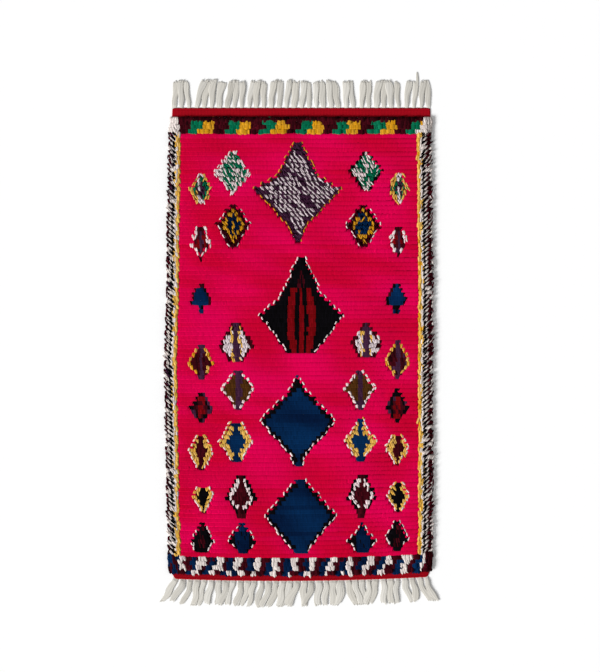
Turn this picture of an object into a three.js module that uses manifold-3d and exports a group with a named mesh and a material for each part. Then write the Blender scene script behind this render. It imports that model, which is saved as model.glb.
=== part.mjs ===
import * as THREE from 'three';
import { mergeVertices } from 'three/addons/utils/BufferGeometryUtils.js';
import Module from 'manifold-3d';

// A hand-knotted wool rug lying flat on a floor, pile up, with its far end towards +Y.
// Millimetres, +Z up, the underside at Z = 0.
// Rows of knots run across the rug and are counted from the far end.

const wasm = await Module();
wasm.setup();

// Pile
const ROWS = 105;
const ROW_PITCH = 18;
const PILE_LENGTH = ROWS * ROW_PITCH;
const CREST_HEIGHT = 17.5;
const VALLEY_HEIGHT = 12.5;
const CREST_PLACE = 0.62; // share of a row's pitch, from its far side, where the tufts stand highest
const LUMP = { rise: 1.2, across: 61, along: 97, drift: 130 }; // slow rise and dip of the whole pile

// Rim of the pile at both sides
const RIM_HEIGHT = 6;
const RIM_SLOPE = 0.02; // share of the width over which the pile falls to its rim
const RIM_NOTCH = 9; // how far the rim draws in between two rows of tufts
const RIM_UNEVEN = 5; // how far single tufts fall short of their neighbours
const FIELD_COLUMNS = 8; // spans across the pile between the two rims

// Flat-woven end strips
const WEAVE_THICK = 5;
const WEAVE_EDGE_THICK = 3.6;
const WEAVE_EDGE = 3; // width of the rounded edge all round a strip

// Fringe
const BACKING_WIDTH = 6; // the last narrow strip of the weave, which holds the warp ends
const BACKING_THICK = 4.2;
const ROOT_DEPTH = 3; // how deep a warp end sits in that strip
const STRANDS_A_LOCK = 2;
const STRAND_GAP = 2;
const ROOT_WIDTH = 6;
const TIP_WIDTH = 9;
const STRAND_TOP_SHARE = 0.55; // width of a strand's top over that of its foot
const STRAND_STATIONS = [
  { along: 0, height: 3.2 },
  { along: 0.3, height: 5.2 },
  { along: 0.65, height: 5.4 },
  { along: 1, height: 3.6 },
];
const LEAVE_STRAIGHT = 0.45; // share of its length that a lock runs straight out before it leans
const REACH_UNEVEN = 4;

const JOIN_GAP = 0.3;

// The near end isn't square: its edge runs furthest out a little left of the middle.
const BOW = { crown: -80, left: 9, right: 17, firstRow: 62 };

// Reach of the rim from the rug's centre line, by row.
const RIM = [
  { row: 0, left: 531, right: 541 },
  { row: 5, left: 544, right: 543 },
  { row: 14, left: 546, right: 545 },
  { row: 26, left: 550, right: 549 },
  { row: 45, left: 554, right: 551 },
  { row: 55, left: 562, right: 550 },
  { row: 62, left: 559, right: 549 },
  { row: 75, left: 556, right: 551 },
  { row: 90, left: 551, right: 551 },
  { row: 100, left: 546, right: 548 },
  { row: 105, left: 540, right: 540 },
];

// The fringe hangs together in clumps of locks, listed from left to right.
// lean: how far the tips lie to the right of the roots; draw: spacing of the tips over that of the roots;
// reach: length of a lock beyond the weave; stray: extra length of one loose warp end.
const FAR_CLUMPS = [
  { locks: 3, lean: 0, draw: 0.75, reach: 113, stray: 0 },
  { locks: 1, lean: -2, draw: 1, reach: 113, stray: 0 },
  { locks: 3, lean: 24, draw: 0.62, reach: 115, stray: 0 },
  { locks: 2, lean: 4, draw: 0.75, reach: 112, stray: 0 },
  { locks: 1, lean: -7, draw: 1, reach: 113, stray: 0 },
  { locks: 1, lean: 0, draw: 1, reach: 110, stray: 0 },
  { locks: 1, lean: -3, draw: 1, reach: 112, stray: 0 },
  { locks: 1, lean: 3, draw: 1, reach: 112, stray: 0 },
  { locks: 4, lean: 6, draw: 0.7, reach: 114, stray: 0 },
  { locks: 2, lean: 6, draw: 0.8, reach: 112, stray: 0 },
  { locks: 1, lean: 2, draw: 1, reach: 110, stray: 0 },
  { locks: 3, lean: -5, draw: 0.75, reach: 114, stray: 0 },
  { locks: 2, lean: -8, draw: 0.8, reach: 112, stray: 0 },
  { locks: 2, lean: 9, draw: 0.8, reach: 113, stray: 0 },
  { locks: 3, lean: 0, draw: 0.66, reach: 115, stray: 0 },
  { locks: 1, lean: 3, draw: 1, reach: 110, stray: 0 },
  { locks: 1, lean: 7, draw: 1, reach: 112, stray: 0 },
  { locks: 1, lean: 6, draw: 1, reach: 112, stray: 36 },
  { locks: 2, lean: 9, draw: 0.8, reach: 113, stray: 0 },
];
const NEAR_CLUMPS = [
  { locks: 2, lean: -54, draw: 1.7, reach: 92, stray: 0 },
  { locks: 1, lean: -30, draw: 1, reach: 105, stray: 0 },
  { locks: 2, lean: -16, draw: 0.85, reach: 107, stray: 0 },
  { locks: 3, lean: -18, draw: 0.85, reach: 103, stray: 0 },
  { locks: 3, lean: -19, draw: 0.9, reach: 105, stray: 0 },
  { locks: 4, lean: -25, draw: 0.9, reach: 107, stray: 0 },
  { locks: 3, lean: -23, draw: 0.85, reach: 105, stray: 0 },
  { locks: 2, lean: -10, draw: 0.8, reach: 103, stray: 0 },
  { locks: 2, lean: 4, draw: 0.7, reach: 105, stray: 0 },
  { locks: 2, lean: -8, draw: 0.85, reach: 97, stray: 0 },
  { locks: 2, lean: 19, draw: 0.7, reach: 101, stray: 0 },
  { locks: 2, lean: 8, draw: 0.8, reach: 103, stray: 0 },
  { locks: 2, lean: -3, draw: 0.85, reach: 103, stray: 0 },
  { locks: 3, lean: 8, draw: 0.75, reach: 103, stray: 0 },
  { locks: 1, lean: 12, draw: 1, reach: 99, stray: 0 },
  { locks: 2, lean: 36, draw: 1.15, reach: 95, stray: 0 },
];

// Each end of the rug, from the edge of the pile outwards.
// weave: length of the flat-woven strip; atPile, atFringe: its reach from the centre line;
// roots: where the first and the last lock leave it; seed: start of this end's uneven lengths.
const FAR_END = {
  outward: 1,
  row: 0,
  weave: 40,
  atPile: { left: 530, right: 540 },
  atFringe: { left: 528, right: 539 },
  roots: { first: -522, last: 532 },
  clumps: FAR_CLUMPS,
  seed: 3000,
};
const NEAR_END = {
  outward: -1,
  row: ROWS,
  weave: 25,
  atPile: { left: 531, right: 538 },
  atFringe: { left: 518, right: 527 },
  roots: { first: -512, last: 521 },
  clumps: NEAR_CLUMPS,
  seed: 4100,
};
const RIM_SEEDS = { left: 1000, right: 2000 };

const PINK_PILE = new THREE.MeshStandardMaterial({ color: 0xd0023f, roughness: 0.95, metalness: 0 });
const RED_WEAVE = new THREE.MeshStandardMaterial({ color: 0x960a18, roughness: 0.9, metalness: 0 });
const CREAM_WARP = new THREE.MeshStandardMaterial({ color: 0xdedace, roughness: 0.95, metalness: 0 });

const { clamp, lerp, seededRandom, smoothstep } = THREE.MathUtils;

// The rim's reach to one side at a row, eased between the rows of the table.
function rimReach(side, row) {
  const next = Math.max(1, RIM.findIndex((entry) => entry.row >= row));
  const from = RIM[next - 1];
  const to = RIM[next];
  return lerp(from[side], to[side], smoothstep(row, from.row, to.row));
}

// How far a row is set back towards the far end at a place across the rug.
function bow(x, row) {
  const side = x < BOW.crown ? 'left' : 'right';
  const reach = side === 'left' ? RIM[0].left + BOW.crown : RIM[0].right - BOW.crown;
  const share = (x - BOW.crown) / reach;
  return BOW[side] * share * share * smoothstep(row, BOW.firstRow, ROWS);
}

function lump(x, y) {
  const across = x / LUMP.across + Math.sin(y / LUMP.drift);
  const along = y / LUMP.along + Math.sin(x / LUMP.drift);
  return LUMP.rise * Math.sin(across) * Math.sin(along);
}

function solidGeometry(points, faces) {
  const geometry = new THREE.BufferGeometry().setFromPoints(points);
  geometry.setIndex(faces);
  return geometry;
}

// A closed slab: a grid of top points over a flat underside with the same outline.
// Lines run from the far side to the near side, and columns from left to right.
function slab(lines, columns, topPoint) {
  const points = [];
  for (let line = 0; line < lines; line++) {
    for (let column = 0; column < columns; column++) {
      points.push(topPoint(line, column));
    }
  }
  const at = (line, column) => line * columns + column;
  const rim = [];
  for (let column = 0; column < columns; column++) {
    rim.push(at(0, column));
  }
  for (let line = 1; line < lines; line++) {
    rim.push(at(line, columns - 1));
  }
  for (let column = columns - 2; column >= 0; column--) {
    rim.push(at(lines - 1, column));
  }
  for (let line = lines - 2; line > 0; line--) {
    rim.push(at(line, 0));
  }
  const foot = points.length;
  const outline = rim.map((index) => new THREE.Vector2(points[index].x, points[index].y));
  for (const corner of outline) {
    points.push(new THREE.Vector3(corner.x, corner.y, 0));
  }

  const faces = [];
  for (let line = 0; line + 1 < lines; line++) {
    for (let column = 0; column + 1 < columns; column++) {
      const far = at(line, column);
      const near = at(line + 1, column);
      faces.push(far, near, near + 1, far, near + 1, far + 1);
    }
  }
  for (let edge = 0; edge < rim.length; edge++) {
    const next = (edge + 1) % rim.length;
    faces.push(rim[edge], rim[next], foot + next, rim[edge], foot + next, foot + edge);
  }
  for (const [a, b, c] of THREE.ShapeUtils.triangulateShape(outline, [])) {
    const facesDown = THREE.ShapeUtils.isClockWise([outline[a], outline[b], outline[c]]);
    faces.push(foot + a, foot + (facesDown ? b : c), foot + (facesDown ? c : b));
  }
  return solidGeometry(points, faces);
}

// The knotted pile: one rib for each row, with a valley at its far side and a crest of tufts.
function pileGeometry() {
  const shares = [0];
  for (let span = 0; span <= FIELD_COLUMNS; span++) {
    shares.push(lerp(RIM_SLOPE, 1 - RIM_SLOPE, span / FIELD_COLUMNS));
  }
  shares.push(1);
  const lines = 2 * ROWS + 1;
  return slab(lines, shares.length, (line, column) => {
    const crest = line % 2 === 1;
    const row = Math.floor(line / 2) + (crest ? CREST_PLACE : 0);
    const reach = (side) => {
      const short = RIM_UNEVEN * seededRandom(RIM_SEEDS[side] + line);
      return rimReach(side, row) - short - (crest ? 0 : RIM_NOTCH);
    };
    const x = lerp(-reach('left'), reach('right'), shares[column]);
    const y = bow(x, row) - row * ROW_PITCH;
    const atRim = column === 0 || column === shares.length - 1;
    const height = (crest ? CREST_HEIGHT : VALLEY_HEIGHT) + lump(x, y);
    return new THREE.Vector3(x, y, atRim ? RIM_HEIGHT : height);
  });
}

// The pile's own edge at one end of the rug.
function pileEdge(end) {
  return -end.row * ROW_PITCH;
}

// A flat-woven strip from the pile's edge outwards, with rounded edges.
function weaveGeometry(end) {
  const steps = [JOIN_GAP, JOIN_GAP + WEAVE_EDGE, end.weave - WEAVE_EDGE, end.weave];
  if (end.outward > 0) {
    steps.reverse();
  }
  const columns = FIELD_COLUMNS + 3;
  return slab(steps.length, columns, (line, column) => {
    const share = steps[line] / end.weave;
    const left = lerp(end.atPile.left, end.atFringe.left, share);
    const right = lerp(end.atPile.right, end.atFringe.right, share);
    const atSide = column === 0 || column === columns - 1;
    const inset = atSide ? 0 : WEAVE_EDGE;
    const across = clamp((column - 1) / FIELD_COLUMNS, 0, 1);
    const x = lerp(inset - left, right - inset, across);
    const y = pileEdge(end) + end.outward * steps[line] + bow(x, end.row);
    const atEdge = atSide || line === 0 || line === steps.length - 1;
    return new THREE.Vector3(x, y, atEdge ? WEAVE_EDGE_THICK : WEAVE_THICK);
  });
}

// The narrow strip at the end of the weave that holds the warp ends.
function backingGeometry(end) {
  const steps = [end.weave + JOIN_GAP, end.weave + JOIN_GAP + BACKING_WIDTH];
  if (end.outward > 0) {
    steps.reverse();
  }
  return slab(steps.length, FIELD_COLUMNS + 1, (line, column) => {
    const x = lerp(-end.atFringe.left, end.atFringe.right, column / FIELD_COLUMNS);
    const y = pileEdge(end) + end.outward * steps[line] + bow(x, end.row);
    return new THREE.Vector3(x, y, BACKING_THICK);
  });
}

// One strand: a four-sided loft with a flat foot on the floor, along a curve from its root to its tip.
function strandGeometry(curve, tipWidth) {
  const points = [];
  const faces = [];
  for (const { along, height } of STRAND_STATIONS) {
    const place = curve.getPoint(along);
    const ahead = curve.getTangent(along);
    const aside = new THREE.Vector3(-ahead.y, ahead.x, 0);
    const foot = lerp(ROOT_WIDTH, tipWidth, along) / 2;
    const top = foot * STRAND_TOP_SHARE;
    points.push(place.clone().addScaledVector(aside, foot));
    points.push(place.clone().addScaledVector(aside, -foot));
    points.push(place.clone().addScaledVector(aside, -top).setZ(height));
    points.push(place.clone().addScaledVector(aside, top).setZ(height));
  }
  for (let station = 0; station + 1 < STRAND_STATIONS.length; station++) {
    for (let side = 0; side < 4; side++) {
      const a = station * 4 + side;
      const b = station * 4 + (side + 1) % 4;
      faces.push(a, b + 4, b, a, a + 4, b + 4);
    }
  }
  const tip = points.length - 4;
  faces.push(0, 1, 2, 0, 2, 3);
  faces.push(tip, tip + 2, tip + 1, tip, tip + 3, tip + 2);
  return solidGeometry(points, faces);
}

// The strands of one clump, whose locks spread evenly about the clump's middle.
function clumpStrands(end, clump, firstLock, pitch) {
  const middle = end.roots.first + pitch * (firstLock + (clump.locks - 1) / 2);
  const tipPitch = pitch * clump.draw;
  const tipRun = clump.lean * (1 - LEAVE_STRAIGHT / 2);
  const slant = Math.cos(Math.atan2(tipRun, clump.reach * (1 - LEAVE_STRAIGHT)));
  const tipWidth = Math.min(TIP_WIDTH, slant * tipPitch / STRANDS_A_LOCK - STRAND_GAP);
  const rootStep = ROOT_WIDTH + STRAND_GAP;
  const tipStep = (tipWidth + STRAND_GAP) / slant;
  const strands = [];
  for (let number = 0; number < clump.locks * STRANDS_A_LOCK; number++) {
    const lock = Math.floor(number / STRANDS_A_LOCK) - (clump.locks - 1) / 2;
    const beside = number % STRANDS_A_LOCK - (STRANDS_A_LOCK - 1) / 2;
    const stray = number + 1 === clump.locks * STRANDS_A_LOCK ? clump.stray : 0;
    const short = REACH_UNEVEN * seededRandom(end.seed + firstLock * STRANDS_A_LOCK + number);
    const rootX = middle + lock * pitch + beside * rootStep;
    const lean = clump.lean * (1 + stray / clump.reach);
    const tipX = middle + lean + lock * tipPitch + beside * tipStep;
    const weaveEnd = pileEdge(end) + end.outward * (end.weave + JOIN_GAP) + bow(rootX, end.row);
    const rootY = weaveEnd + end.outward * (BACKING_WIDTH - ROOT_DEPTH);
    const tipY = weaveEnd + end.outward * (clump.reach + stray - short);
    const root = new THREE.Vector3(rootX, rootY, 0);
    const tip = new THREE.Vector3(tipX, tipY, 0);
    const bendX = lerp(rootX, tipX, LEAVE_STRAIGHT / 2);
    const bend = new THREE.Vector3(bendX, lerp(rootY, tipY, LEAVE_STRAIGHT), 0);
    strands.push(strandGeometry(new THREE.QuadraticBezierCurve3(root, bend, tip), tipWidth));
  }
  return strands;
}

function toSolid(geometry) {
  const merged = mergeVertices(geometry);
  const vertProperties = new Float32Array(merged.getAttribute('position').array);
  const triVerts = new Uint32Array(merged.getIndex().array);
  return new wasm.Manifold(new wasm.Mesh({ numProp: 3, vertProperties, triVerts }));
}

function toGeometry(solid) {
  const mesh = solid.getMesh();
  const geometry = new THREE.BufferGeometry();
  geometry.setAttribute('position', new THREE.BufferAttribute(mesh.vertProperties, 3));
  geometry.setIndex(new THREE.BufferAttribute(mesh.triVerts, 1));
  return geometry;
}

// The fringe of one end: its strands joined to the strip that holds their roots.
function fringeGeometry(end) {
  const lockCount = end.clumps.reduce((sum, clump) => sum + clump.locks, 0);
  const pitch = (end.roots.last - end.roots.first) / (lockCount - 1);
  let fringe = toSolid(backingGeometry(end));
  let lock = 0;
  for (const clump of end.clumps) {
    for (const strand of clumpStrands(end, clump, lock, pitch)) {
      fringe = fringe.add(toSolid(strand));
    }
    lock += clump.locks;
  }
  return toGeometry(fringe);
}

function piece(name, geometry, material) {
  geometry.computeVertexNormals();
  const mesh = new THREE.Mesh(geometry, material);
  mesh.name = name;
  return mesh;
}

const rug = new THREE.Group();
rug.add(piece('pile_body', pileGeometry(), PINK_PILE));
rug.add(piece('flat_weave_far', weaveGeometry(FAR_END), RED_WEAVE));
rug.add(piece('flat_weave_near', weaveGeometry(NEAR_END), RED_WEAVE));
rug.add(piece('fringe_far', fringeGeometry(FAR_END), CREAM_WARP));
rug.add(piece('fringe_near', fringeGeometry(NEAR_END), CREAM_WARP));

// The origin lies under the middle of the whole rug, fringes included.
const middle = new THREE.Box3().setFromObject(rug).getCenter(new THREE.Vector3());
rug.position.set(-middle.x, -middle.y, 0);

export default rug;
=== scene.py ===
import logging
import math
from dataclasses import dataclass, field
from enum import Enum, IntEnum
from typing import Any, Optional, Sequence, Union

import bpy
import numpy as np
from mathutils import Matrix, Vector


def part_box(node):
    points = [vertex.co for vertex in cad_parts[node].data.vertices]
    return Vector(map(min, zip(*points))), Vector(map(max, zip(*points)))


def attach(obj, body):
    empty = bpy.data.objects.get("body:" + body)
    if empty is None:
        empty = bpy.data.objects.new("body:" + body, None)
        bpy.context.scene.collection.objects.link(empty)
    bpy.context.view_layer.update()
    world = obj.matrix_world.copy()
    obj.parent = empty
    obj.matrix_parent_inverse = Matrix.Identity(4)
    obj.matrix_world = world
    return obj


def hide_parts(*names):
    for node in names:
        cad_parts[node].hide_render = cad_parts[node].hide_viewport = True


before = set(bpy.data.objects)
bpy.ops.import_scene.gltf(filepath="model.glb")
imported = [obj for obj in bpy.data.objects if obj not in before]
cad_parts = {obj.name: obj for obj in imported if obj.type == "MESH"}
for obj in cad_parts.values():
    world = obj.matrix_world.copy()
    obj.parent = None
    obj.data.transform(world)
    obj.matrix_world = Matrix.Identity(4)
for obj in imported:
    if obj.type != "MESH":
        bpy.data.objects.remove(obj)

# A hand-knotted wool rug, lying flat with its pile up and its far end towards +Y.
# Sizes are in millimetres, measured from the rug's centre line and from the far edge of its pile.
# Rows of knots run across the rug and are counted from the far end. Meshes are in metres.

LOG = logging.getLogger("rug")
MM = 0.001
BODY = "root"
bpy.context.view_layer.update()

Array = np.ndarray
Colour = tuple[float, float, float]


def linear(digits: str) -> Colour:
    """Turns a display colour, as six hexadecimal digits, into linear light."""
    channels = (int(digits[place:place + 2], 16) / 255 for place in (0, 2, 4))
    return tuple(c / 12.92 if c <= 0.04045 else ((c + 0.055) / 1.055) ** 2.4 for c in channels)


def ease(value: Array, start: float, end: float) -> Array:
    """Smooth step, which leaves 0 at the start and reaches 1 at the end."""
    share = np.clip((value - start) / (end - start), 0, 1)
    return share * share * (3 - 2 * share)


def blend(low: Any, high: Any, share: Any) -> Any:
    """Straight blend from low to high."""
    return low + (high - low) * share


def unit(vectors: Array) -> Array:
    """Vectors of length 1 in the same directions."""
    return vectors / np.linalg.norm(vectors, axis=-1, keepdims=True)


def pairs(*parts: Array) -> Array:
    """Joins arrays of coordinate pairs into one list of pairs."""
    return np.concatenate([part.reshape(-1, 2) for part in parts])


class Yarn(IntEnum):
    """The dyed wools of the pile."""

    PINK = 0
    GOLD = 1
    WHITE = 2
    BLUE = 3
    GREEN = 4
    PLUM = 5
    MAROON = 6
    BROWN = 7
    BLACK = 8
    RED = 9
    CREAM = 10
    STRAW = 11
    ASH = 12


class Side(Enum):
    """The two long sides of the rug."""

    LEFT = -1
    RIGHT = 1


@dataclass(frozen=True)
class Wool:
    """One wool, as it was dyed and spun.

    Attributes:
        slot: Material slot of the record.
        colour: Its usual colour, as hexadecimal digits.
        cast: The colour that some of it leans towards.
        uneven: Spread of light and dark between single yarn ends.
        shaggy: Whether its ends stand out of the pile and lie unevenly in a motif.
    """

    slot: str
    colour: str
    cast: str
    uneven: float = 0.08
    shaggy: bool = False

    def dye(self, share: Array, depth: Array) -> Array:
        """Dyes yarn ends.

        Args:
            share: How far each end leans towards the cast, from 0 to 1.
            depth: Number of each end, about 0, for its light or dark: random, and in the flat weave also a
                painted shade that darkens it towards the pile.

        Returns:
            A linear colour for each end.
        """
        clean, other = np.array(linear(self.colour)), np.array(linear(self.cast))
        dyed = blend(clean, other, share[:, None])
        return np.clip(dyed * (1 + self.uneven * depth[:, None]), 0, 1)


WOOLS = {
    Yarn.PINK: Wool("pink_pile", "be0029", "da0050", uneven=0.03),
    Yarn.GOLD: Wool("gold_yarn", "c0840e", "cc9428", uneven=0.1, shaggy=True),
    Yarn.WHITE: Wool("white_yarn", "dcd2d0", "dec4c8", uneven=0.06, shaggy=True),
    Yarn.BLUE: Wool("blue_yarn", "020f2b", "042b54", uneven=0.08),
    Yarn.GREEN: Wool("green_yarn", "005e40", "0c6a4a", uneven=0.12, shaggy=True),
    Yarn.PLUM: Wool("plum_yarn", "34182e", "42223a", uneven=0.12),
    Yarn.MAROON: Wool("maroon_yarn", "200308", "460814", uneven=0.12),
    Yarn.BROWN: Wool("brown_yarn", "40240a", "4e2e10", uneven=0.15),
    Yarn.BLACK: Wool("black_yarn", "050405", "09070b", uneven=0.15),
    Yarn.RED: Wool("red_weave", "660306", "760610", uneven=0.1),
    Yarn.CREAM: Wool("white_yarn", "d8cec8", "cec2be", uneven=0.05, shaggy=True),
    Yarn.STRAW: Wool("gold_yarn", "d09e3c", "dab05e", uneven=0.08, shaggy=True),
    Yarn.ASH: Wool("white_yarn", "ccbcc0", "d4c6ca", uneven=0.08, shaggy=True),
}
# Wools whose dye changes slowly over the rug, and the wools that are shaggy.
BATCHED = (Yarn.PINK, Yarn.BLUE)
SHAGGY = np.array([WOOLS[kind].shaggy for kind in Yarn])
WEFT = Wool("red_weave", "900614", "a20c1c", uneven=0.06)
WARP = Wool("cream_warp", "d4d1ca", "c8c4bb", uneven=0.04)


class Socket:
    """A shader value that takes part in Python arithmetic."""

    def __init__(self, shader: "Shader", output: bpy.types.NodeSocket) -> None:
        """Wraps an output socket of a shader's node."""
        self.shader = shader
        self.output = output

    def __add__(self, other: "Value") -> "Socket":
        """Adds a value."""
        return self.shader.math("ADD", self, other)

    def __radd__(self, other: "Value") -> "Socket":
        """Is added to a value."""
        return self.shader.math("ADD", other, self)

    def __mul__(self, other: "Value") -> "Socket":
        """Multiplies by a value."""
        return self.shader.math("MULTIPLY", self, other)

    def __rmul__(self, other: "Value") -> "Socket":
        """Multiplies a value."""
        return self.shader.math("MULTIPLY", other, self)

    def sine(self) -> "Socket":
        """Takes the sine."""
        return self.shader.math("SINE", self, 0.0)

    def size(self) -> "Socket":
        """Drops the sign."""
        return self.shader.math("ABSOLUTE", self, 0.0)


Value = Union[Socket, float, Sequence[float]]
WOOL_ROUGHNESS = 0.95
WOOL_SHINE = 0.03


class Shader:
    """A material with one Principled surface and the nodes that feed it."""

    def __init__(self, name: str) -> None:
        """Starts a plain material.

        Args:
            name: Name of the material.
        """
        self.material = bpy.data.materials.new(name)
        self.material.use_nodes = True
        self.tree = self.material.node_tree
        self.surface = self.tree.nodes["Principled BSDF"]

    def feed(self, socket: bpy.types.NodeSocket, value: Value) -> None:
        """Links or sets an input socket.

        Args:
            socket: The input socket.
            value: A shader value to link, or a number or vector to set.
        """
        if isinstance(value, Socket):
            self.tree.links.new(value.output, socket)
        else:
            socket.default_value = value

    def node(
        self,
        kind: str,
        settings: Optional[dict[str, Any]] = None,
        inputs: Optional[dict[Union[str, int], Value]] = None,
        output: Union[str, int] = 0,
    ) -> Socket:
        """Adds a node.

        Args:
            kind: The node's type.
            settings: Properties of the node, which are set first.
            inputs: Values or links of its sockets.
            output: Name or number of the socket to hand on.

        Returns:
            That output socket.
        """
        made = self.tree.nodes.new(kind)
        for name, setting in (settings or {}).items():
            setattr(made, name, setting)
        for name, value in (inputs or {}).items():
            self.feed(made.inputs[name], value)
        return Socket(self, made.outputs[output])

    def math(self, operation: str, first: Value, second: Value) -> Socket:
        """Adds one step of arithmetic on two values."""
        return self.node("ShaderNodeMath", {"operation": operation}, {0: first, 1: second})

    def attribute(self, name: str) -> Socket:
        """Reads a colour that the mesh carries."""
        return self.node("ShaderNodeAttribute", {"attribute_name": name}, output="Color")

    def uv(self, name: str) -> tuple[Socket, Socket]:
        """Reads a UV map.

        Args:
            name: Name of the map.

        Returns:
            Its two coordinates.
        """
        place = self.node("ShaderNodeUVMap", {"uv_map": name})
        split = self.node("ShaderNodeSeparateXYZ", None, {0: place})
        return split, Socket(self, split.output.node.outputs[1])

    def noise(self, scale: float, detail: float = 2.0, stretch: Sequence[float] = (1, 1, 1)) -> Socket:
        """Noise over the object's own space.

        Args:
            scale: Grains to a metre.
            detail: Finer layers of the noise.
            stretch: Factor on the scale along each axis.

        Returns:
            Values about 0.5.
        """
        place = self.node("ShaderNodeTexCoord", output="Object")
        sized = self.node("ShaderNodeVectorMath", {"operation": "MULTIPLY"}, {0: place, 1: stretch})
        return self.node("ShaderNodeTexNoise", None, {"Vector": sized, "Scale": scale, "Detail": detail})

    def shade(self, colour: Socket, light: Socket) -> Socket:
        """Multiplies a colour by a value, which keeps it as it is at 1."""
        return self.node("ShaderNodeVectorMath", {"operation": "SCALE"}, {0: colour, "Scale": light})

    def wool(self, colour: Socket, height: Socket, relief: float) -> bpy.types.Material:
        """Finishes the surface as dull wool.

        Args:
            colour: Colour over the surface.
            height: Relief of the surface, from 0 to 1.
            relief: Height of that relief, in metres.

        Returns:
            The material.
        """
        bump = self.node("ShaderNodeBump", None, {"Strength": 1.0, "Distance": relief, "Height": height})
        self.feed(self.surface.inputs["Base Color"], colour)
        self.feed(self.surface.inputs["Normal"], bump)
        self.surface.inputs["Roughness"].default_value = WOOL_ROUGHNESS
        self.surface.inputs["Specular IOR Level"].default_value = WOOL_SHINE
        return self.material


@dataclass(frozen=True)
class YarnFinish:
    """Twisted wool yarn, coloured by the dye of each end.

    Attributes:
        plies: Strands twisted together.
        twist: Turns to a metre.
        relief: Height of the plies, in millimetres.
        mottle_and_ply_shade: How much loose fibre mottles the colour, and how much painted shade darkens the
            grooves between the plies.
        fibres: Fibres to a metre.
        light: Parts of the fibres and of the plies in the colour's variation: the fibres mottle it at random,
            the plies paint shade into the grooves between them.
        rise: Parts of the fibres and of the plies in the relief.
    """

    plies: int
    twist: float
    relief: float
    mottle_and_ply_shade: float
    fibres: float = 900.0
    light: tuple[float, float] = (1.2, 0.4)
    rise: tuple[float, float] = (0.6, 0.7)

    def material(self, name: str) -> bpy.types.Material:
        """Makes the yarn's material.

        Args:
            name: Name of the material.

        Returns:
            The material.
        """
        shader = Shader(name)
        around, along = shader.uv("yarn")
        ridge = ((around * self.plies + along * self.twist) * math.pi).sine().size()
        fibre = shader.noise(scale=self.fibres, detail=3.0)
        dyed = shader.attribute("dye")
        # Painted shade: the ply ridges lighten the colour and darken the grooves between the plies, besides
        # the fibres' random mottle.
        mottling_and_ply_shade = fibre * self.light[0] + ridge * self.light[1]
        colour = shader.shade(dyed, (1 - self.mottle_and_ply_shade) + mottling_and_ply_shade * self.mottle_and_ply_shade)
        return shader.wool(colour, ridge * self.rise[1] + fibre * self.rise[0], self.relief * MM)


@dataclass(frozen=True)
class WeaveFinish:
    """Weft-faced plain weave: packed weft over and under the warps.

    Attributes:
        warp_pitch: Distance between warps, in millimetres.
        weft_pitch: Distance between weft lines, in millimetres.
        relief: Height of a weft over a warp, in millimetres.
        fibres: Fibres to a metre.
        streaks: Streaks of the yarn to a metre, before they are stretched.
        stretch: Factor on the number of streaks along each axis.
        light: Least light, and the parts of weft, crossings, fibres and streaks in it: the weft lines and
            crossings paint shade into the grooves between them, while the fibres and streaks are the yarn's
            own tone.
        rise: Parts of weft, crossings and fibres in the relief.
    """

    warp_pitch: float = 6.0
    weft_pitch: float = 2.6
    relief: float = 0.9
    fibres: float = 420.0
    streaks: float = 60.0
    stretch: tuple[float, float, float] = (0.35, 4.0, 1.0)
    light: tuple[float, ...] = (0.62, 0.12, 0.1, 0.2, 0.24)
    rise: tuple[float, float, float] = (0.5, 0.5, 0.3)

    def material(self, name: str) -> bpy.types.Material:
        """Makes the weave's material.

        Args:
            name: Name of the material.

        Returns:
            The material.
        """
        shader = Shader(name)
        across, along = shader.uv("weave")
        line = along * (math.pi / (self.weft_pitch * MM))
        crossing = across * (math.pi / (self.warp_pitch * MM))
        weft = line.sine().size()
        over = (crossing + line * 0.5).sine().size()
        fibre = shader.noise(scale=self.fibres, detail=3.0)
        yarn = shader.noise(scale=self.streaks, detail=2.0, stretch=self.stretch)
        dyed = shader.attribute("dye")
        least, weft_part, over_part, fibre_part, yarn_part = self.light
        # Painted shade: the weft lines and crossings lighten the raised weft and darken the grooves between,
        # as the bump does; the fibres and streaks are the yarn's own tone.
        light = least + weft * weft_part + over * over_part + fibre * fibre_part + yarn * yarn_part
        height = weft * self.rise[0] + over * self.rise[1] + fibre * self.rise[2]
        return shader.wool(shader.shade(dyed, light), height, self.relief * MM)


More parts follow.
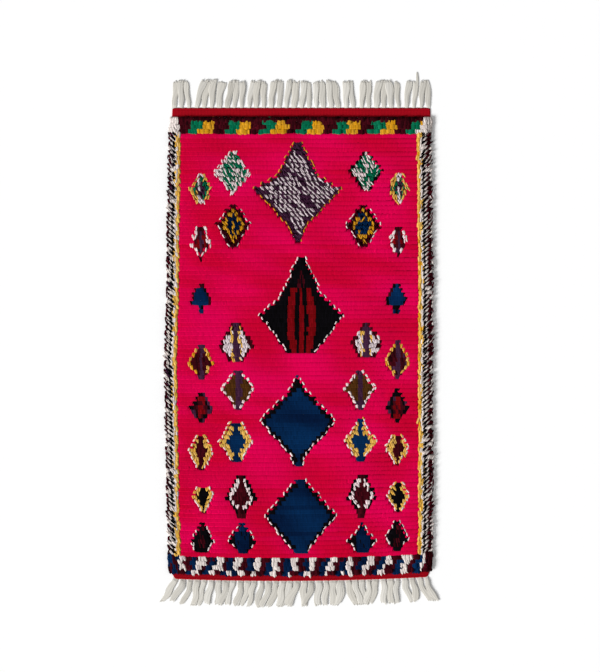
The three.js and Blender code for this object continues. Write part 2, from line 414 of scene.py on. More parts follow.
@dataclass(frozen=True)
class Loom:
    """The rug's layout, which all its pieces share.

    Attributes:
        rows: Rows of knots.
        row_pitch: Usual distance between rows.
        row_marks: Rows whose place is known.
        row_places: How far those rows lie from the far edge of the pile.
        knots: Knots in a row.
        rim_rows: Rows where the rim's reach is known.
        rim_left: Reach of the left rim from the centre line at those rows.
        rim_right: Reach of the right rim.
        crown: Where the near edge runs furthest out, across the rug.
        bow_left: How far the near edge is set back at the left rim.
        bow_right: How far it is set back at the right rim.
        bow_row: First row that bows.
        weave_left: Reach of the far flat weave to the left, which places the centre line.
    """

    rows: int = 105
    row_pitch: float = 18.0
    row_marks: tuple[float, ...] = (0, 1, 4, 20, 105)
    row_places: tuple[float, ...] = (0, 11, 66, 360, 1890)
    knots: int = 114
    rim_rows: tuple[float, ...] = (0, 5, 14, 26, 45, 55, 62, 75, 90, 100, 105)
    rim_left: tuple[float, ...] = (531, 544, 546, 550, 554, 562, 559, 556, 551, 546, 540)
    rim_right: tuple[float, ...] = (541, 543, 545, 549, 551, 550, 549, 551, 551, 548, 540)
    crown: float = -80.0
    bow_left: float = 9.0
    bow_right: float = 17.0
    bow_row: float = 62.0
    weave_left: float = 530.0

    @property
    def length(self) -> float:
        """Length of the pile."""
        return self.rows * self.row_pitch

    def along(self, row: Array) -> Array:
        """How far rows lie from the far edge of the pile."""
        return np.interp(row, self.row_marks, self.row_places)

    def rim(self, side: Side, row: Array) -> Array:
        """Reach of the pile's rim from the centre line, at rows or between them."""
        return np.interp(row, self.rim_rows, self.rim_left if side is Side.LEFT else self.rim_right)

    def bow(self, across: Array, row: Array) -> Array:
        """How far rows are set back towards the far end.

        Args:
            across: Places across the rug.
            row: The row at each place.

        Returns:
            The set-back at each place.
        """
        left = across < self.crown
        reach = np.where(left, self.rim_left[0] + self.crown, self.rim_right[0] - self.crown)
        depth = np.where(left, self.bow_left, self.bow_right)
        return depth * ((across - self.crown) / reach) ** 2 * ease(row, self.bow_row, self.rows)

    def place(self, points: Array) -> Array:
        """Moves points from the rug's own measures to the frame.

        Args:
            points: Points in millimetres, with the axes last.

        Returns:
            The points in metres.
        """
        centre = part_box("flat_weave_far")[0].x + self.weave_left * MM
        far_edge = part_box("pile_body")[1].y
        return points * MM + np.array((centre, far_edge, 0.0))


@dataclass
class MeshParts:
    """Arrays that make one mesh.

    Attributes:
        points: Vertices, in metres.
        quads: Four vertices a face.
        triangles: Three vertices a face.
        maps: UV maps by name, with a value for each corner of the quads and then of the triangles.
        dye: Linear colour of each vertex, or of each face.
        dyed: Which of the two the dye belongs to.
        smooth: Whether its faces shade into each other.
    """

    points: Array
    quads: Array
    triangles: Array
    maps: dict[str, Array]
    dye: Array
    dyed: str = "POINT"
    smooth: bool = True

    def piece(self, name: str, material: bpy.types.Material, slot: str, *nodes: str) -> bpy.types.Object:
        """Makes the mesh and puts it in the frame.

        Args:
            name: Name of the piece.
            material: Its material.
            slot: Material slot of the record; not used.
            nodes: Solids of the frame that it stands for.

        Returns:
            The new object.
        """
        mesh = bpy.data.meshes.new(name)
        corners = np.concatenate((self.quads.ravel(), self.triangles.ravel()))
        ends = np.concatenate((np.full(len(self.quads), 4), np.full(len(self.triangles), 3)))
        mesh.vertices.add(len(self.points))
        mesh.vertices.foreach_set("co", self.points.ravel())
        mesh.loops.add(len(corners))
        mesh.loops.foreach_set("vertex_index", corners)
        mesh.polygons.add(len(ends))
        mesh.polygons.foreach_set("loop_start", np.cumsum(ends) - ends)
        mesh.update(calc_edges=True)
        if self.smooth:
            mesh.shade_smooth()
        else:
            mesh.shade_flat()
        for map_name, places in self.maps.items():
            layer = mesh.uv_layers.new(name=map_name)
            layer.uv.foreach_set("vector", places.ravel())
        colours = np.concatenate((self.dye, np.ones((len(self.dye), 1))), axis=1)
        mesh.attributes.new("dye", "FLOAT_COLOR", self.dyed).data.foreach_set("color", colours.ravel())
        mesh.materials.append(material)
        made = bpy.data.objects.new(name, mesh)
        bpy.context.scene.collection.objects.link(made)
        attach(made, BODY)
        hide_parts(*nodes)
        LOG.info("%s: %d faces", name, len(ends))
        return made


# Part of a cell of the map that stays free at each of its sides.
CELL_MARGIN = 0.08


@dataclass
class Strands:
    """Yarn ends that share one mesh, each a closed tube from its root to its tip.

    Attributes:
        spine: Points along each end, root first, in metres: ends, stations, axes.
        aside: Sideways direction of each end.
        width: Half width at each station, in metres.
        depth: Half depth at each station, in metres.
        dye: Linear colour of each end.
        sides: Sides of a tube.
        flat: Power that squares off its section, from 1 for a round one towards 0.
    """

    spine: Array
    aside: Array
    width: Array
    depth: Array
    dye: Array
    sides: int
    flat: float = 1.0

    def ring_points(self) -> Array:
        """Places points round each tube, station by station and with the tip last.

        Returns:
            Points: ends, points of an end, axes.
        """
        ends, stations = self.spine.shape[:2]
        ahead = unit(np.gradient(self.spine, axis=1))
        aside = np.broadcast_to(self.aside[:, None, :], ahead.shape)
        upward = np.cross(aside, ahead)
        angle = 2 * math.pi * np.arange(self.sides) / self.sides
        section = np.stack((np.cos(angle), np.sin(angle))).round(6)
        section = np.sign(section) * np.abs(section) ** self.flat
        out = aside[:, :-1, None] * section[0, :, None] * self.width[:, :-1, None, None]
        up = upward[:, :-1, None] * section[1, :, None] * self.depth[:, :-1, None, None]
        rings = self.spine[:, :-1, None] + out + up
        rings = rings.reshape(ends, (stations - 1) * self.sides, 3)
        return np.concatenate((rings, self.spine[:, -1:]), axis=1)

    def cells(self, local: Array) -> Array:
        """Gives each end its own cell of the map.

        Args:
            local: Place of each corner of one end within its cell.

        Returns:
            Place of each corner of every end: ends, corners, axes.
        """
        count = len(self.spine)
        columns = math.ceil(math.sqrt(count))
        number = np.arange(count)
        corner = np.stack((number % columns, number // columns), axis=1)
        return (corner[:, None] + CELL_MARGIN + (1 - 2 * CELL_MARGIN) * local) / columns

    def parts(self) -> MeshParts:
        """Joins the ends into one mesh.

        Returns:
            The arrays of the mesh.
        """
        ends, stations = self.spine.shape[:2]
        side = np.arange(self.sides)
        after = (side + 1) % self.sides
        first = np.arange(stations - 2)[:, None] * self.sides
        lower, upper = (first + side, first + after), (first + after + self.sides, first + side + self.sides)
        walls = np.stack((*lower, *upper), axis=2).reshape(-1, 4)
        last = (stations - 2) * self.sides
        tip = last + self.sides
        cap = np.stack((last + side, last + after, np.full(self.sides, tip)), axis=1)
        root = np.stack((np.zeros(self.sides - 2, int), side[2:], side[1:-1]), axis=1)

        turn, rise = np.meshgrid(side / self.sides, np.arange(stations - 2) / (stations - 1))
        wide, high = 1 / self.sides, 1 / (stations - 1)
        step = np.array(((0, 0), (wide, 0), (wide, high), (0, high)))
        wall_map = (np.stack((turn.ravel(), rise.ravel()), axis=1)[:, None] + step).reshape(-1, 2)
        low = (stations - 2) / (stations - 1)
        cap_turn = np.stack((side, side + 1, side + 0.5), axis=1) / self.sides
        cap_rise = np.broadcast_to((low, low, 1.0), cap_turn.shape)
        tri_map = pairs(np.stack((cap_turn, cap_rise), axis=2), np.zeros((root.size, 2)))

        size = (stations - 1) * self.sides + 1
        base = (np.arange(ends) * size)[:, None, None]
        quads = (walls[None] + base).reshape(-1, 4)
        triangles = (np.concatenate((cap, root))[None] + base).reshape(-1, 3)
        length = np.linalg.norm(np.diff(self.spine, axis=1), axis=2).sum(axis=1)
        metres = np.stack((np.ones(ends), length), axis=1)[:, None]
        maps = {
            "OFBake": pairs(self.cells(wall_map), self.cells(tri_map)),
            "yarn": pairs(wall_map * metres, tri_map * metres),
        }
        dye = np.repeat(self.dye, size, axis=0)
        return MeshParts(self.ring_points().reshape(-1, 3), quads, triangles, maps, dye)


# Places on a slab's map: size of the upper and lower faces, their corners, and heights of the walls.
FACE_SIZE = (0.48, 0.94)
TOP_CORNER = (0.01, 0.05)
UNDER_CORNER = (0.51, 0.05)
WALL_TOP = 0.03
WALL_FOOT = 0.005


def slab(top: Array, bottom: float, weave: Array, dye: Array) -> MeshParts:
    """A closed slab under a grid of points.

    Args:
        top: Points of its upper face, in metres: lines from far to near, columns from left to right, axes.
        bottom: Height of its flat underside, in metres.
        weave: Place of each point in the weave, in metres: lines, columns, axes.
        dye: Linear colour of each face of the grid: lines, columns, channels.

    Returns:
        The arrays of the mesh.
    """
    lines, columns = top.shape[:2]
    under = top.copy()
    under[..., 2] = bottom
    points = np.concatenate((top.reshape(-1, 3), under.reshape(-1, 3)))
    number = np.arange(lines * columns).reshape(lines, columns)
    far_left, far_right = number[:-1, :-1].ravel(), number[:-1, 1:].ravel()
    near_left, near_right = number[1:, :-1].ravel(), number[1:, 1:].ravel()
    upper = np.stack((far_left, near_left, near_right, far_right), axis=1)
    lower = np.stack((far_left, far_right, near_right, near_left), axis=1) + number.size
    rim = np.concatenate((number[0], number[1:, -1], number[-1, -2::-1], number[-2:0:-1, 0]))
    after = np.roll(rim, -1)
    walls = np.stack((rim, after, after + number.size, rim + number.size), axis=1)
    quads = np.concatenate((upper, lower, walls))

    across, along = np.meshgrid(np.linspace(0, 1, columns), np.linspace(1, 0, lines))
    flat = np.stack((across.ravel(), along.ravel()), axis=1)
    halves = pairs(flat * FACE_SIZE + TOP_CORNER, flat * FACE_SIZE + UNDER_CORNER)
    round_share = np.linspace(0, 1, len(rim) + 1)
    start, end = round_share[:-1], round_share[1:]
    wall_turn = np.stack((start, end, end, start), axis=1)
    wall_rise = np.broadcast_to((WALL_TOP, WALL_TOP, WALL_FOOT, WALL_FOOT), wall_turn.shape)
    bake = pairs(halves[upper.ravel()], halves[lower.ravel()], np.stack((wall_turn, wall_rise), axis=2))
    woven = pairs(weave, weave)
    faces = dye.reshape(-1, 3)
    rim_dye = np.concatenate((dye[0], dye[:, -1], dye[-1, ::-1], dye[::-1, 0]))
    return MeshParts(
        points, quads, np.zeros((0, 3), int), {"OFBake": bake, "weave": woven[quads.ravel()]},
        np.concatenate((faces, faces, rim_dye)), "FACE",
    )


@dataclass(frozen=True)
class Ring:
    """A run of knots, such as one round a motif.

    Attributes:
        yarn: Its yarn.
        knots: Its width in knots.
        share: Share of its knots that take the yarn.
        other: Yarn of the rest, which otherwise stay as they are.
        fine: Whether the two ends of a knot are chosen apart.
        turns: Whether the yarn takes every other knot.
        dash: Whether only the outer end of each knot takes the yarn, as a short dash.
    """

    yarn: Yarn
    knots: float = 1.0
    share: float = 1.0
    other: Optional[Yarn] = None
    fine: bool = False
    turns: bool = False
    dash: bool = False


@dataclass
class Chart:
    """The yarn of each knot.

    Attributes:
        across: Where each knot shows, across the rug.
        row: Where it shows, in usual rows from the far end.
        line: The row that it is tied in.
        knot: Its number in that row.
        knots: Knots in a row.
        knot_pitch: Distance between knots.
        row_pitch: Usual distance between rows.
        chance: Random numbers that choose between two yarns.
        yarn: The yarn of the two ends of each knot.
        lean: Sideways run of its ends over their forward run.
        rough: How unevenly its ends lie, from 0 to 1.
        over: How far its ends lie above those beside them.
        size: Length of its ends over the usual one.
        girth: Width of its ends over the usual one.
        slant: Distance from the centre line where the ends of the plain field would lean by 45 degrees.
        most_slant: The most that they lean.
        calm: How unevenly they lie.
        late: Share of rows where yarns that take turns start with the second knot.
        dash_size: Length of the ends in a dash over the usual one.
    """

    across: Array
    row: Array
    line: Array
    knot: Array
    knots: int
    knot_pitch: float
    row_pitch: float
    chance: np.random.Generator
    slant: float = 1300.0
    most_slant: float = 0.35
    calm: float = 0.08
    late: float = 0.3
    dash_size: float = 0.82
    yarn: Array = field(init=False)
    lean: Array = field(init=False)
    rough: Array = field(init=False)
    over: Array = field(init=False)
    size: Array = field(init=False)
    girth: Array = field(init=False)

    def __post_init__(self) -> None:
        """Starts with a plain pink field, whose ends lie over towards the middle."""
        self.yarn = np.full((len(self.row), 2), int(Yarn.PINK))
        self.lean = np.clip(-self.across / self.slant, -self.most_slant, self.most_slant)
        self.rough = np.full(self.row.shape, self.calm)
        self.over = np.zeros(self.row.shape)
        self.size = np.ones(self.row.shape)
        self.girth = np.ones(self.row.shape)

    def from_side(self, side: Side) -> Array:
        """Knots between each knot and one side of the rug."""
        return self.knot if side is Side.LEFT else self.knots - 1 - self.knot

    def tie(self, where: Array, ring: Ring, outer: Union[Array, float] = 0.0) -> None:
        """Ties knots.

        Args:
            where: The knots to tie.
            ring: Their yarns.
            outer: Below 0 where the left end of a knot is the outer one, and above 0 where the right end is.
        """
        luck = self.chance.random(self.yarn.shape)
        if not ring.fine:
            luck[:, 1] = luck[:, 0]
        takes = luck < ring.share
        if ring.dash:
            takes[:, 0] &= outer < 0
            takes[:, 1] &= outer > 0
            self.size[where] = self.dash_size
        if ring.turns:
            late = self.chance.random(int(self.line.max()) + 1) < self.late
            takes &= ((self.knot + late[self.line]) % 2 == 0)[:, None]
        self.yarn[where[:, None] & takes] = int(ring.yarn)
        if ring.other is not None:
            self.yarn[where[:, None] & ~takes] = int(ring.other)


@dataclass(frozen=True)
class Stripe:
    """An upright stripe within a motif.

    Attributes:
        ring: Its yarns, and its width in knots.
        offset: Its place beside the motif's middle, in knots.
        start: Where it starts, as a share of the motif's length.
        end: Where it ends.
    """

    ring: Ring
    offset: float = 0.0
    start: float = 0.0
    end: float = 1.0


@dataclass(frozen=True)
class Scheme:
    """The yarns of a motif.

    Attributes:
        rings: Runs of knots, outermost first.
        core: What fills the middle.
        stripes: Upright stripes over both.
        tips: Yarn of the two pointed ends.
        tip_rows: Rows of such an end.
        stem: Yarn of a short stem at the near end, and its width in knots.
        stem_rows: Rows of the stem.
        lean: Sideways run of the ends in its left half over their forward run.
        turn: The same in its right half, over that of the left half.
        bow: How far its stripes draw together towards its ends.
        shaggy: Whether all its ends lie unevenly.
    """

    rings: tuple[Ring, ...]
    core: Ring
    stripes: tuple[Stripe, ...] = ()
    tips: Optional[Yarn] = None
    tip_rows: float = 1.5
    stem: Optional[Ring] = None
    stem_rows: float = 2.0
    lean: float = 0.2
    turn: float = -0.6
    bow: float = 0.0
    shaggy: bool = False


def dashes(yarn: Yarn, other: Yarn, share: float = 0.95) -> Ring:
    """A ring of short dashes with another yarn between them."""
    return Ring(yarn, 1.0, share, other, dash=True)


class Figure(Enum):
    """The kinds of lozenge."""

    SPECKLED = Scheme(
        (dashes(Yarn.GOLD, Yarn.PLUM, 0.9), Ring(Yarn.PLUM, 1.2)),
        Ring(Yarn.ASH, 1, 0.84, Yarn.PLUM, turns=True),
        tips=Yarn.PLUM, tip_rows=2.0, lean=0.85, turn=1.1, shaggy=True,
    )
    STRIPED = Scheme(
        (dashes(Yarn.WHITE, Yarn.BLACK), ),
        Ring(Yarn.BLACK),
        (
            Stripe(Ring(Yarn.RED, 3.4), -4.6, start=0.33),
            Stripe(Ring(Yarn.RED, 2.0), -0.2, start=0.33),
            Stripe(Ring(Yarn.RED, 3.4), 4.4, start=0.33),
            Stripe(Ring(Yarn.MAROON, 5.2, 0.5, fine=True), 0.0, start=0.12, end=0.33),
        ),
        lean=0.05, bow=0.32,
    )
    BORDERED = Scheme(
        (dashes(Yarn.WHITE, Yarn.BLACK), Ring(Yarn.BLACK, 1.5)),
        Ring(Yarn.BLUE), tips=Yarn.BLUE, tip_rows=1.2,
    )
    GREEN_SIDED = Scheme(
        (
            Ring(Yarn.STRAW, 1.2, 0.9, Yarn.GREEN, fine=True),
            Ring(Yarn.GREEN, 1.2, 0.7, Yarn.STRAW, fine=True),
        ),
        Ring(Yarn.PLUM), (Stripe(Ring(Yarn.ASH, 1.2, 0.85), -0.6), ),
        tips=Yarn.WHITE, tip_rows=0.8, shaggy=True,
    )
    WHITE_SIDED = Scheme(
        (Ring(Yarn.WHITE, 1.3, 0.75, fine=True), ), Ring(Yarn.RED, share=0.35, other=Yarn.MAROON),
        (Stripe(Ring(Yarn.PLUM, 1.6)), ), tips=Yarn.MAROON, tip_rows=0.8,
    )
    SPADE = Scheme(
        (Ring(Yarn.BLACK, 1.0, 0.5, Yarn.MAROON), ), Ring(Yarn.BLUE),
        stem=Ring(Yarn.BLUE, 2.2, 0.5, Yarn.BLACK),
    )
    GOLD_SIDED = Scheme(
        (Ring(Yarn.STRAW, 1.0, 0.65, Yarn.GOLD, fine=True), ), Ring(Yarn.MAROON, share=0.92, other=Yarn.PLUM),
        (Stripe(Ring(Yarn.PLUM, 1.4)), ), tips=Yarn.PLUM, tip_rows=1.0,
    )
    INDIGO = Scheme(
        (Ring(Yarn.PLUM, 1.0, 0.4, Yarn.BLACK), Ring(Yarn.BLACK, 0.9, 0.85, Yarn.PLUM)),
        Ring(Yarn.MAROON), (Stripe(Ring(Yarn.RED, 2.6, 0.85), start=0.2, end=0.9), ), tips=Yarn.BLACK,
    )
    FLAME = Scheme(
        (dashes(Yarn.WHITE, Yarn.STRAW), Ring(Yarn.STRAW, 1.6)), Ring(Yarn.MAROON),
        (Stripe(Ring(Yarn.MAROON, 1.4)), ),
    )
    EYE = Scheme(
        (dashes(Yarn.WHITE, Yarn.STRAW, 0.9), Ring(Yarn.STRAW, 0.9)),
        Ring(Yarn.BLACK), (Stripe(Ring(Yarn.BLACK, 1.4)), ),
    )
    DASHED = Scheme(
        (dashes(Yarn.WHITE, Yarn.BLACK), ), Ring(Yarn.BLACK),
        (Stripe(Ring(Yarn.MAROON, 2.6, 0.45, fine=True)), ), tips=Yarn.BLACK, tip_rows=1.0,
    )
    LEAFY = Scheme(
        (Ring(Yarn.WHITE, 1.3, 0.9, Yarn.GREEN), ), Ring(Yarn.GREEN, 1, 0.58, Yarn.WHITE, fine=True),
        lean=0.75, shaggy=True,
    )
    LEAFY_DARK = Scheme(
        (Ring(Yarn.BLACK, 1.2), ), Ring(Yarn.WHITE, 1, 0.5, Yarn.GREEN, fine=True), lean=0.5, shaggy=True,
    )
    JEWEL = Scheme(
        (
            dashes(Yarn.WHITE, Yarn.MAROON, 0.85), Ring(Yarn.MAROON, 1.6),
            Ring(Yarn.GOLD, 1.6, 0.85, Yarn.BLUE),
        ),
        Ring(Yarn.BLUE), (Stripe(Ring(Yarn.GOLD, 1.3, 0.7), start=0.3, end=0.85), ),
        tips=Yarn.MAROON, tip_rows=1.6, shaggy=True,
    )
    PALE = Scheme(
        (Ring(Yarn.MAROON, 1.7, 0.9, Yarn.ASH), ), Ring(Yarn.ASH),
        (Stripe(Ring(Yarn.STRAW, 4.6, 0.6, fine=True)), Stripe(Ring(Yarn.PLUM, 2.4))),
    )
    BARKED = Scheme(
        (dashes(Yarn.WHITE, Yarn.WHITE), ), Ring(Yarn.BROWN),
        (Stripe(Ring(Yarn.PLUM, 2.8)), ), tips=Yarn.PLUM, tip_rows=1.3,
    )
    SUNNY = Scheme(
        (dashes(Yarn.WHITE, Yarn.STRAW), Ring(Yarn.STRAW, 2.1)), Ring(Yarn.BLUE),
        (Stripe(Ring(Yarn.BLUE, 1.8)), ), tips=Yarn.BLUE, tip_rows=1.0,
    )
    COLLARED = Scheme(
        (Ring(Yarn.BLACK, 1.1), Ring(Yarn.WHITE, 1.7)), Ring(Yarn.MAROON),
        (Stripe(Ring(Yarn.MAROON, 1.6)), ), tips=Yarn.MAROON, tip_rows=0.6,
        stem=Ring(Yarn.MAROON, 3.4), stem_rows=1.2,
    )
    SPIKED = Scheme(
        (dashes(Yarn.WHITE, Yarn.BLACK), ), Ring(Yarn.BLACK),
        (Stripe(Ring(Yarn.BLUE, 6.0, 0.95, fine=True)), ), tips=Yarn.BLUE, tip_rows=1.4,
    )


# How far a stripe runs into the outermost ring, in knots, and how far the ends of that ring follow
# the slope of the rim. First for a plain ring, then for a dashed one.
STRIPE_ENTRY = (0.6, 0.1)
RIM_FOLLOW = (0.35, 0.75)
MOST_SLOPE = 0.8
SLOPE_STEP = 0.3
# Where bowed stripes lie furthest apart, as a share of the motif's length, and the rest of it.
BOW_PLACE = 0.66
BOW_SPAN = 0.34
# Knots that a tip leaves free at each side, and half its least width.
TIP_INSET = 0.5
TIP_HALF = 0.8
# Shares of the half width between which the lean changes from the left half's to the right half's.
TURN = (0.1, 0.9)
# How far shaggy ends lie over the rim, and how unevenly they lie there and in a shaggy motif.
RIM_OVER = 1.0
RIM_ROUGH = 0.8
FULL_ROUGH = 1.0


@dataclass(frozen=True)
class Motif:
    """One lozenge of the field.

    Attributes:
        figure: Its kind.
        centre: Its middle, across the rug.
        half: Half its width.
        first: Row of its far tip.
        waist: Row where it is widest.
        last: Row of its near tip.
        far_flat: Half the width of a blunt far end.
        near_flat: Half the width of a blunt near end.
        far_kink: Where its far sides bend: share of the way from tip to waist, and of the growth in width.
        near_kink: The same for its near sides.
    """

    figure: Figure
    centre: float
    half: float
    first: float
    waist: float
    last: float
    far_flat: float = 0.0
    near_flat: float = 0.0
    far_kink: tuple[float, float] = (0.5, 0.5)
    near_kink: tuple[float, float] = (0.5, 0.5)

    def reach(self, row: Array) -> Array:
        """Measures the motif at rows.

        Args:
            row: The rows.

        Returns:
            Half its width at each.
        """
        far_row = blend(self.first, self.waist, self.far_kink[0])
        near_row = blend(self.last, self.waist, self.near_kink[0])
        far_half = blend(self.far_flat, self.half, self.far_kink[1])
        near_half = blend(self.near_flat, self.half, self.near_kink[1])
        rows = (self.first, far_row, self.waist, near_row, self.last)
        return np.interp(row, rows, (self.far_flat, far_half, self.half, near_half, self.near_flat))

    def tie(self, chart: Chart) -> None:
        """Ties the motif's knots.

        Args:
            chart: The chart that they are tied in.
        """
        scheme = self.figure.value
        reach = self.reach(chart.row)
        beside = (chart.across - self.centre) / chart.knot_pitch
        depth = np.maximum(reach / chart.knot_pitch, 0.5) - np.abs(beside)
        inside = (chart.row >= self.first) & (chart.row <= self.last) & (depth > 0)
        start = 0.0
        for ring in scheme.rings:
            chart.tie(inside & (depth >= start) & (depth < start + ring.knots), ring, beside)
            start += ring.knots
        chart.tie(inside & (depth >= start), scheme.core)
        along = (chart.row - self.first) / (self.last - self.first)
        edge, dash = scheme.rings[0].knots, scheme.rings[0].dash
        cut = edge - STRIPE_ENTRY[dash]
        drawn = 1 - scheme.bow * ((along - BOW_PLACE) / BOW_SPAN) ** 2
        for stripe in scheme.stripes:
            here = inside & (np.abs(beside - stripe.offset * drawn) <= stripe.ring.knots / 2 * drawn)
            chart.tie(here & (along >= stripe.start) & (along <= stripe.end) & (depth >= cut), stripe.ring)
        if scheme.tips is not None:
            ends = (chart.row < self.first + scheme.tip_rows) | (chart.row > self.last - scheme.tip_rows)
            for half in (reach / chart.knot_pitch - TIP_INSET, TIP_HALF):
                chart.tie(inside & ends & (np.abs(beside) < half), Ring(scheme.tips))
        if scheme.stem is not None:
            below = (chart.row > self.last) & (chart.row < self.last + scheme.stem_rows)
            below &= np.abs(beside) <= scheme.stem.knots / 2
            chart.tie(below, scheme.stem)
            chart.lean[below] = 0.0
        share = beside * chart.knot_pitch / self.half
        chart.lean[inside] = blend(scheme.lean, scheme.turn * scheme.lean, ease(share, *TURN))[inside]
        growth = self.reach(chart.row + SLOPE_STEP) - self.reach(chart.row - SLOPE_STEP)
        slope = growth / (2 * SLOPE_STEP * chart.row_pitch)
        rim = inside & (depth < edge)
        shaggy = SHAGGY[chart.yarn].any(axis=1)
        chart.lean[rim] = (np.sign(beside) * RIM_FOLLOW[dash] * np.clip(slope, -MOST_SLOPE, MOST_SLOPE))[rim]
        chart.over[rim & shaggy] = RIM_OVER
        chart.rough[inside & shaggy] = RIM_ROUGH
        if scheme.shaggy:
            chart.rough[inside] = FULL_ROUGH


MOTIFS = (
    Motif(Figure.SPECKLED, -10, 186, 5.8, 16.4, 28.6, 14, 14, (0.75, 0.45), (0.29, 0.14)),
    Motif(Figure.STRIPED, 6, 174, 32.3, 45.6, 53.9, 16, 60, (0.62, 0.42)),
    Motif(Figure.BORDERED, -8, 160, 58.7, 69.8, 80.0, 0, 18, (0.35, 0.22), (0.25, 0.12)),
    Motif(Figure.BORDERED, 2, 152, 82.8, 91.6, 100.0, 14, 26),
    Motif(Figure.GREEN_SIDED, -410, 47, 13.2, 16.6, 20.0, far_flat=14, near_flat=16),
    Motif(Figure.WHITE_SIDED, -410, 43, 25.4, 29.3, 32.6, far_flat=20),
    Motif(Figure.SPADE, -410, 44, 38.2, 41.8, 43.2, 8, 38, (0.5, 0.6)),
    Motif(Figure.GOLD_SIDED, -410, 52, 52.4, 56.3, 60.2, far_flat=16, near_flat=10),
    Motif(Figure.INDIGO, -410, 51, 62.5, 66.8, 70.2, far_flat=4, near_flat=6),
    Motif(Figure.FLAME, -410, 54, 73.0, 76.8, 80.8, far_flat=14, near_flat=16),
    Motif(Figure.EYE, -400, 46, 84.6, 87.2, 90.6, far_flat=20, near_flat=10),
    Motif(Figure.DASHED, -406, 50, 93.4, 97.4, 99.9, far_flat=10, near_flat=26),
    Motif(Figure.LEAFY, -280, 82, 7.6, 13.0, 17.4, 12, 12, (0.6, 0.47), (0.5, 0.42)),
    Motif(Figure.JEWEL, -276, 72, 19.8, 24.7, 30.4, far_flat=8, near_flat=10),
    Motif(Figure.PALE, -264, 74, 47.1, 52.2, 55.6, far_flat=12, near_flat=34),
    Motif(Figure.BARKED, -256, 70, 58.0, 62.3, 66.8, far_flat=10, near_flat=14),
    Motif(Figure.SUNNY, -264, 72, 69.6, 74.6, 79.2, far_flat=16, near_flat=18),
    Motif(Figure.COLLARED, -244, 64, 82.2, 87.4, 90.6, far_flat=16, near_flat=20),
    Motif(Figure.SPIKED, -238, 62, 93.0, 97.4, 100.3, 4, 10),
    Motif(Figure.LEAFY_DARK, 273, 78, 7.6, 12.4, 17.3, 8, 12, (0.5, 0.42), (0.5, 0.42)),
    Motif(Figure.JEWEL, 263, 76, 19.8, 24.9, 30.2, far_flat=8, near_flat=10),
    Motif(Figure.PALE, 275, 68, 47.4, 51.6, 55.1, far_flat=12, near_flat=34),
    Motif(Figure.BARKED, 248, 66, 58.0, 62.3, 66.6, far_flat=10, near_flat=14),
    Motif(Figure.SUNNY, 250, 68, 69.2, 74.4, 79.0, 14, 16, (0.3, 0.12)),
    Motif(Figure.COLLARED, 255, 64, 82.0, 87.2, 90.4, far_flat=16, near_flat=20),
    Motif(Figure.SPIKED, 257, 62, 93.3, 97.5, 100.2, 6, 22, (0.35, 0.12)),
    Motif(Figure.GREEN_SIDED, 410, 40, 12.9, 16.4, 19.9, far_flat=12, near_flat=12),
    Motif(Figure.WHITE_SIDED, 408, 41, 25.2, 28.9, 32.1, far_flat=14),
    Motif(Figure.SPADE, 400, 42, 37.8, 41.5, 42.9, 8, 38, (0.5, 0.6)),
    Motif(Figure.GOLD_SIDED, 404, 52, 50.8, 56.0, 59.8, far_flat=4, near_flat=10),
    Motif(Figure.INDIGO, 402, 50, 62.0, 66.4, 70.0, far_flat=2, near_flat=6),
    Motif(Figure.FLAME, 404, 52, 72.6, 76.2, 79.8, far_flat=14, near_flat=10),
    Motif(Figure.EYE, 406, 49, 84.0, 87.2, 91.2, far_flat=12, near_flat=10),
    Motif(Figure.DASHED, 402, 50, 93.2, 97.2, 100.2, far_flat=8, near_flat=12),
)


# Sideways run of the ends in both bands over their forward run, and how unevenly they lie.
BAND_LEAN = 0.1
BAND_ROUGH = 0.39


@dataclass(frozen=True)
class FarBand:
    """The knotted band at the far end: green and gold blocks on maroon, between white corners.

    Attributes:
        start: Left end of the first block.
        period: Distance between blocks.
        green: Where the green begins in a block, row by row after a plain first row.
        gold: Where the gold begins.
        end: Where the block ends.
        left_corner: Reach of the white corner from the centre line to the left, row by row.
        right_corner: The same to the right.
        corner_rough: How unevenly the ends of the corners lie.
        ragged: Spread of the blocks' sides between knots.
    """

    start: float = -472.0
    period: float = 150.4
    green: tuple[float, ...] = (19, 27, 2)
    gold: tuple[float, ...] = (70, 72, 53)
    end: tuple[float, ...] = (115, 120, 111)
    left_corner: tuple[float, ...] = (507, 503, 495, 502)
    right_corner: tuple[float, ...] = (517, 503, 495, 480)
    corner_rough: float = 0.45
    ragged: float = 3.0

    def tie(self, chart: Chart) -> None:
        """Ties the band's knots.

        Args:
            chart: The chart that they are tied in.
        """
        ragged = chart.chance.normal(0, self.ragged, chart.row.shape)
        place = np.mod(chart.across - self.start + ragged, self.period)
        for line, left in enumerate(self.left_corner):
            here = chart.line == line
            chart.tie(here, Ring(Yarn.MAROON))
            chart.lean[here] = BAND_LEAN
            chart.rough[here] = BAND_ROUGH
            corner = here & ((chart.across < -left) | (chart.across > self.right_corner[line]))
            chart.tie(corner, Ring(Yarn.CREAM))
            chart.rough[corner] = self.corner_rough
        for step, green in enumerate(self.green):
            here = (chart.line == step + 1) & (chart.yarn[:, 0] == Yarn.MAROON)
            chart.tie(here & (place > green) & (place <= self.gold[step]), Ring(Yarn.GREEN))
            chart.tie(here & (place > self.gold[step]) & (place <= self.end[step]), Ring(Yarn.GOLD))


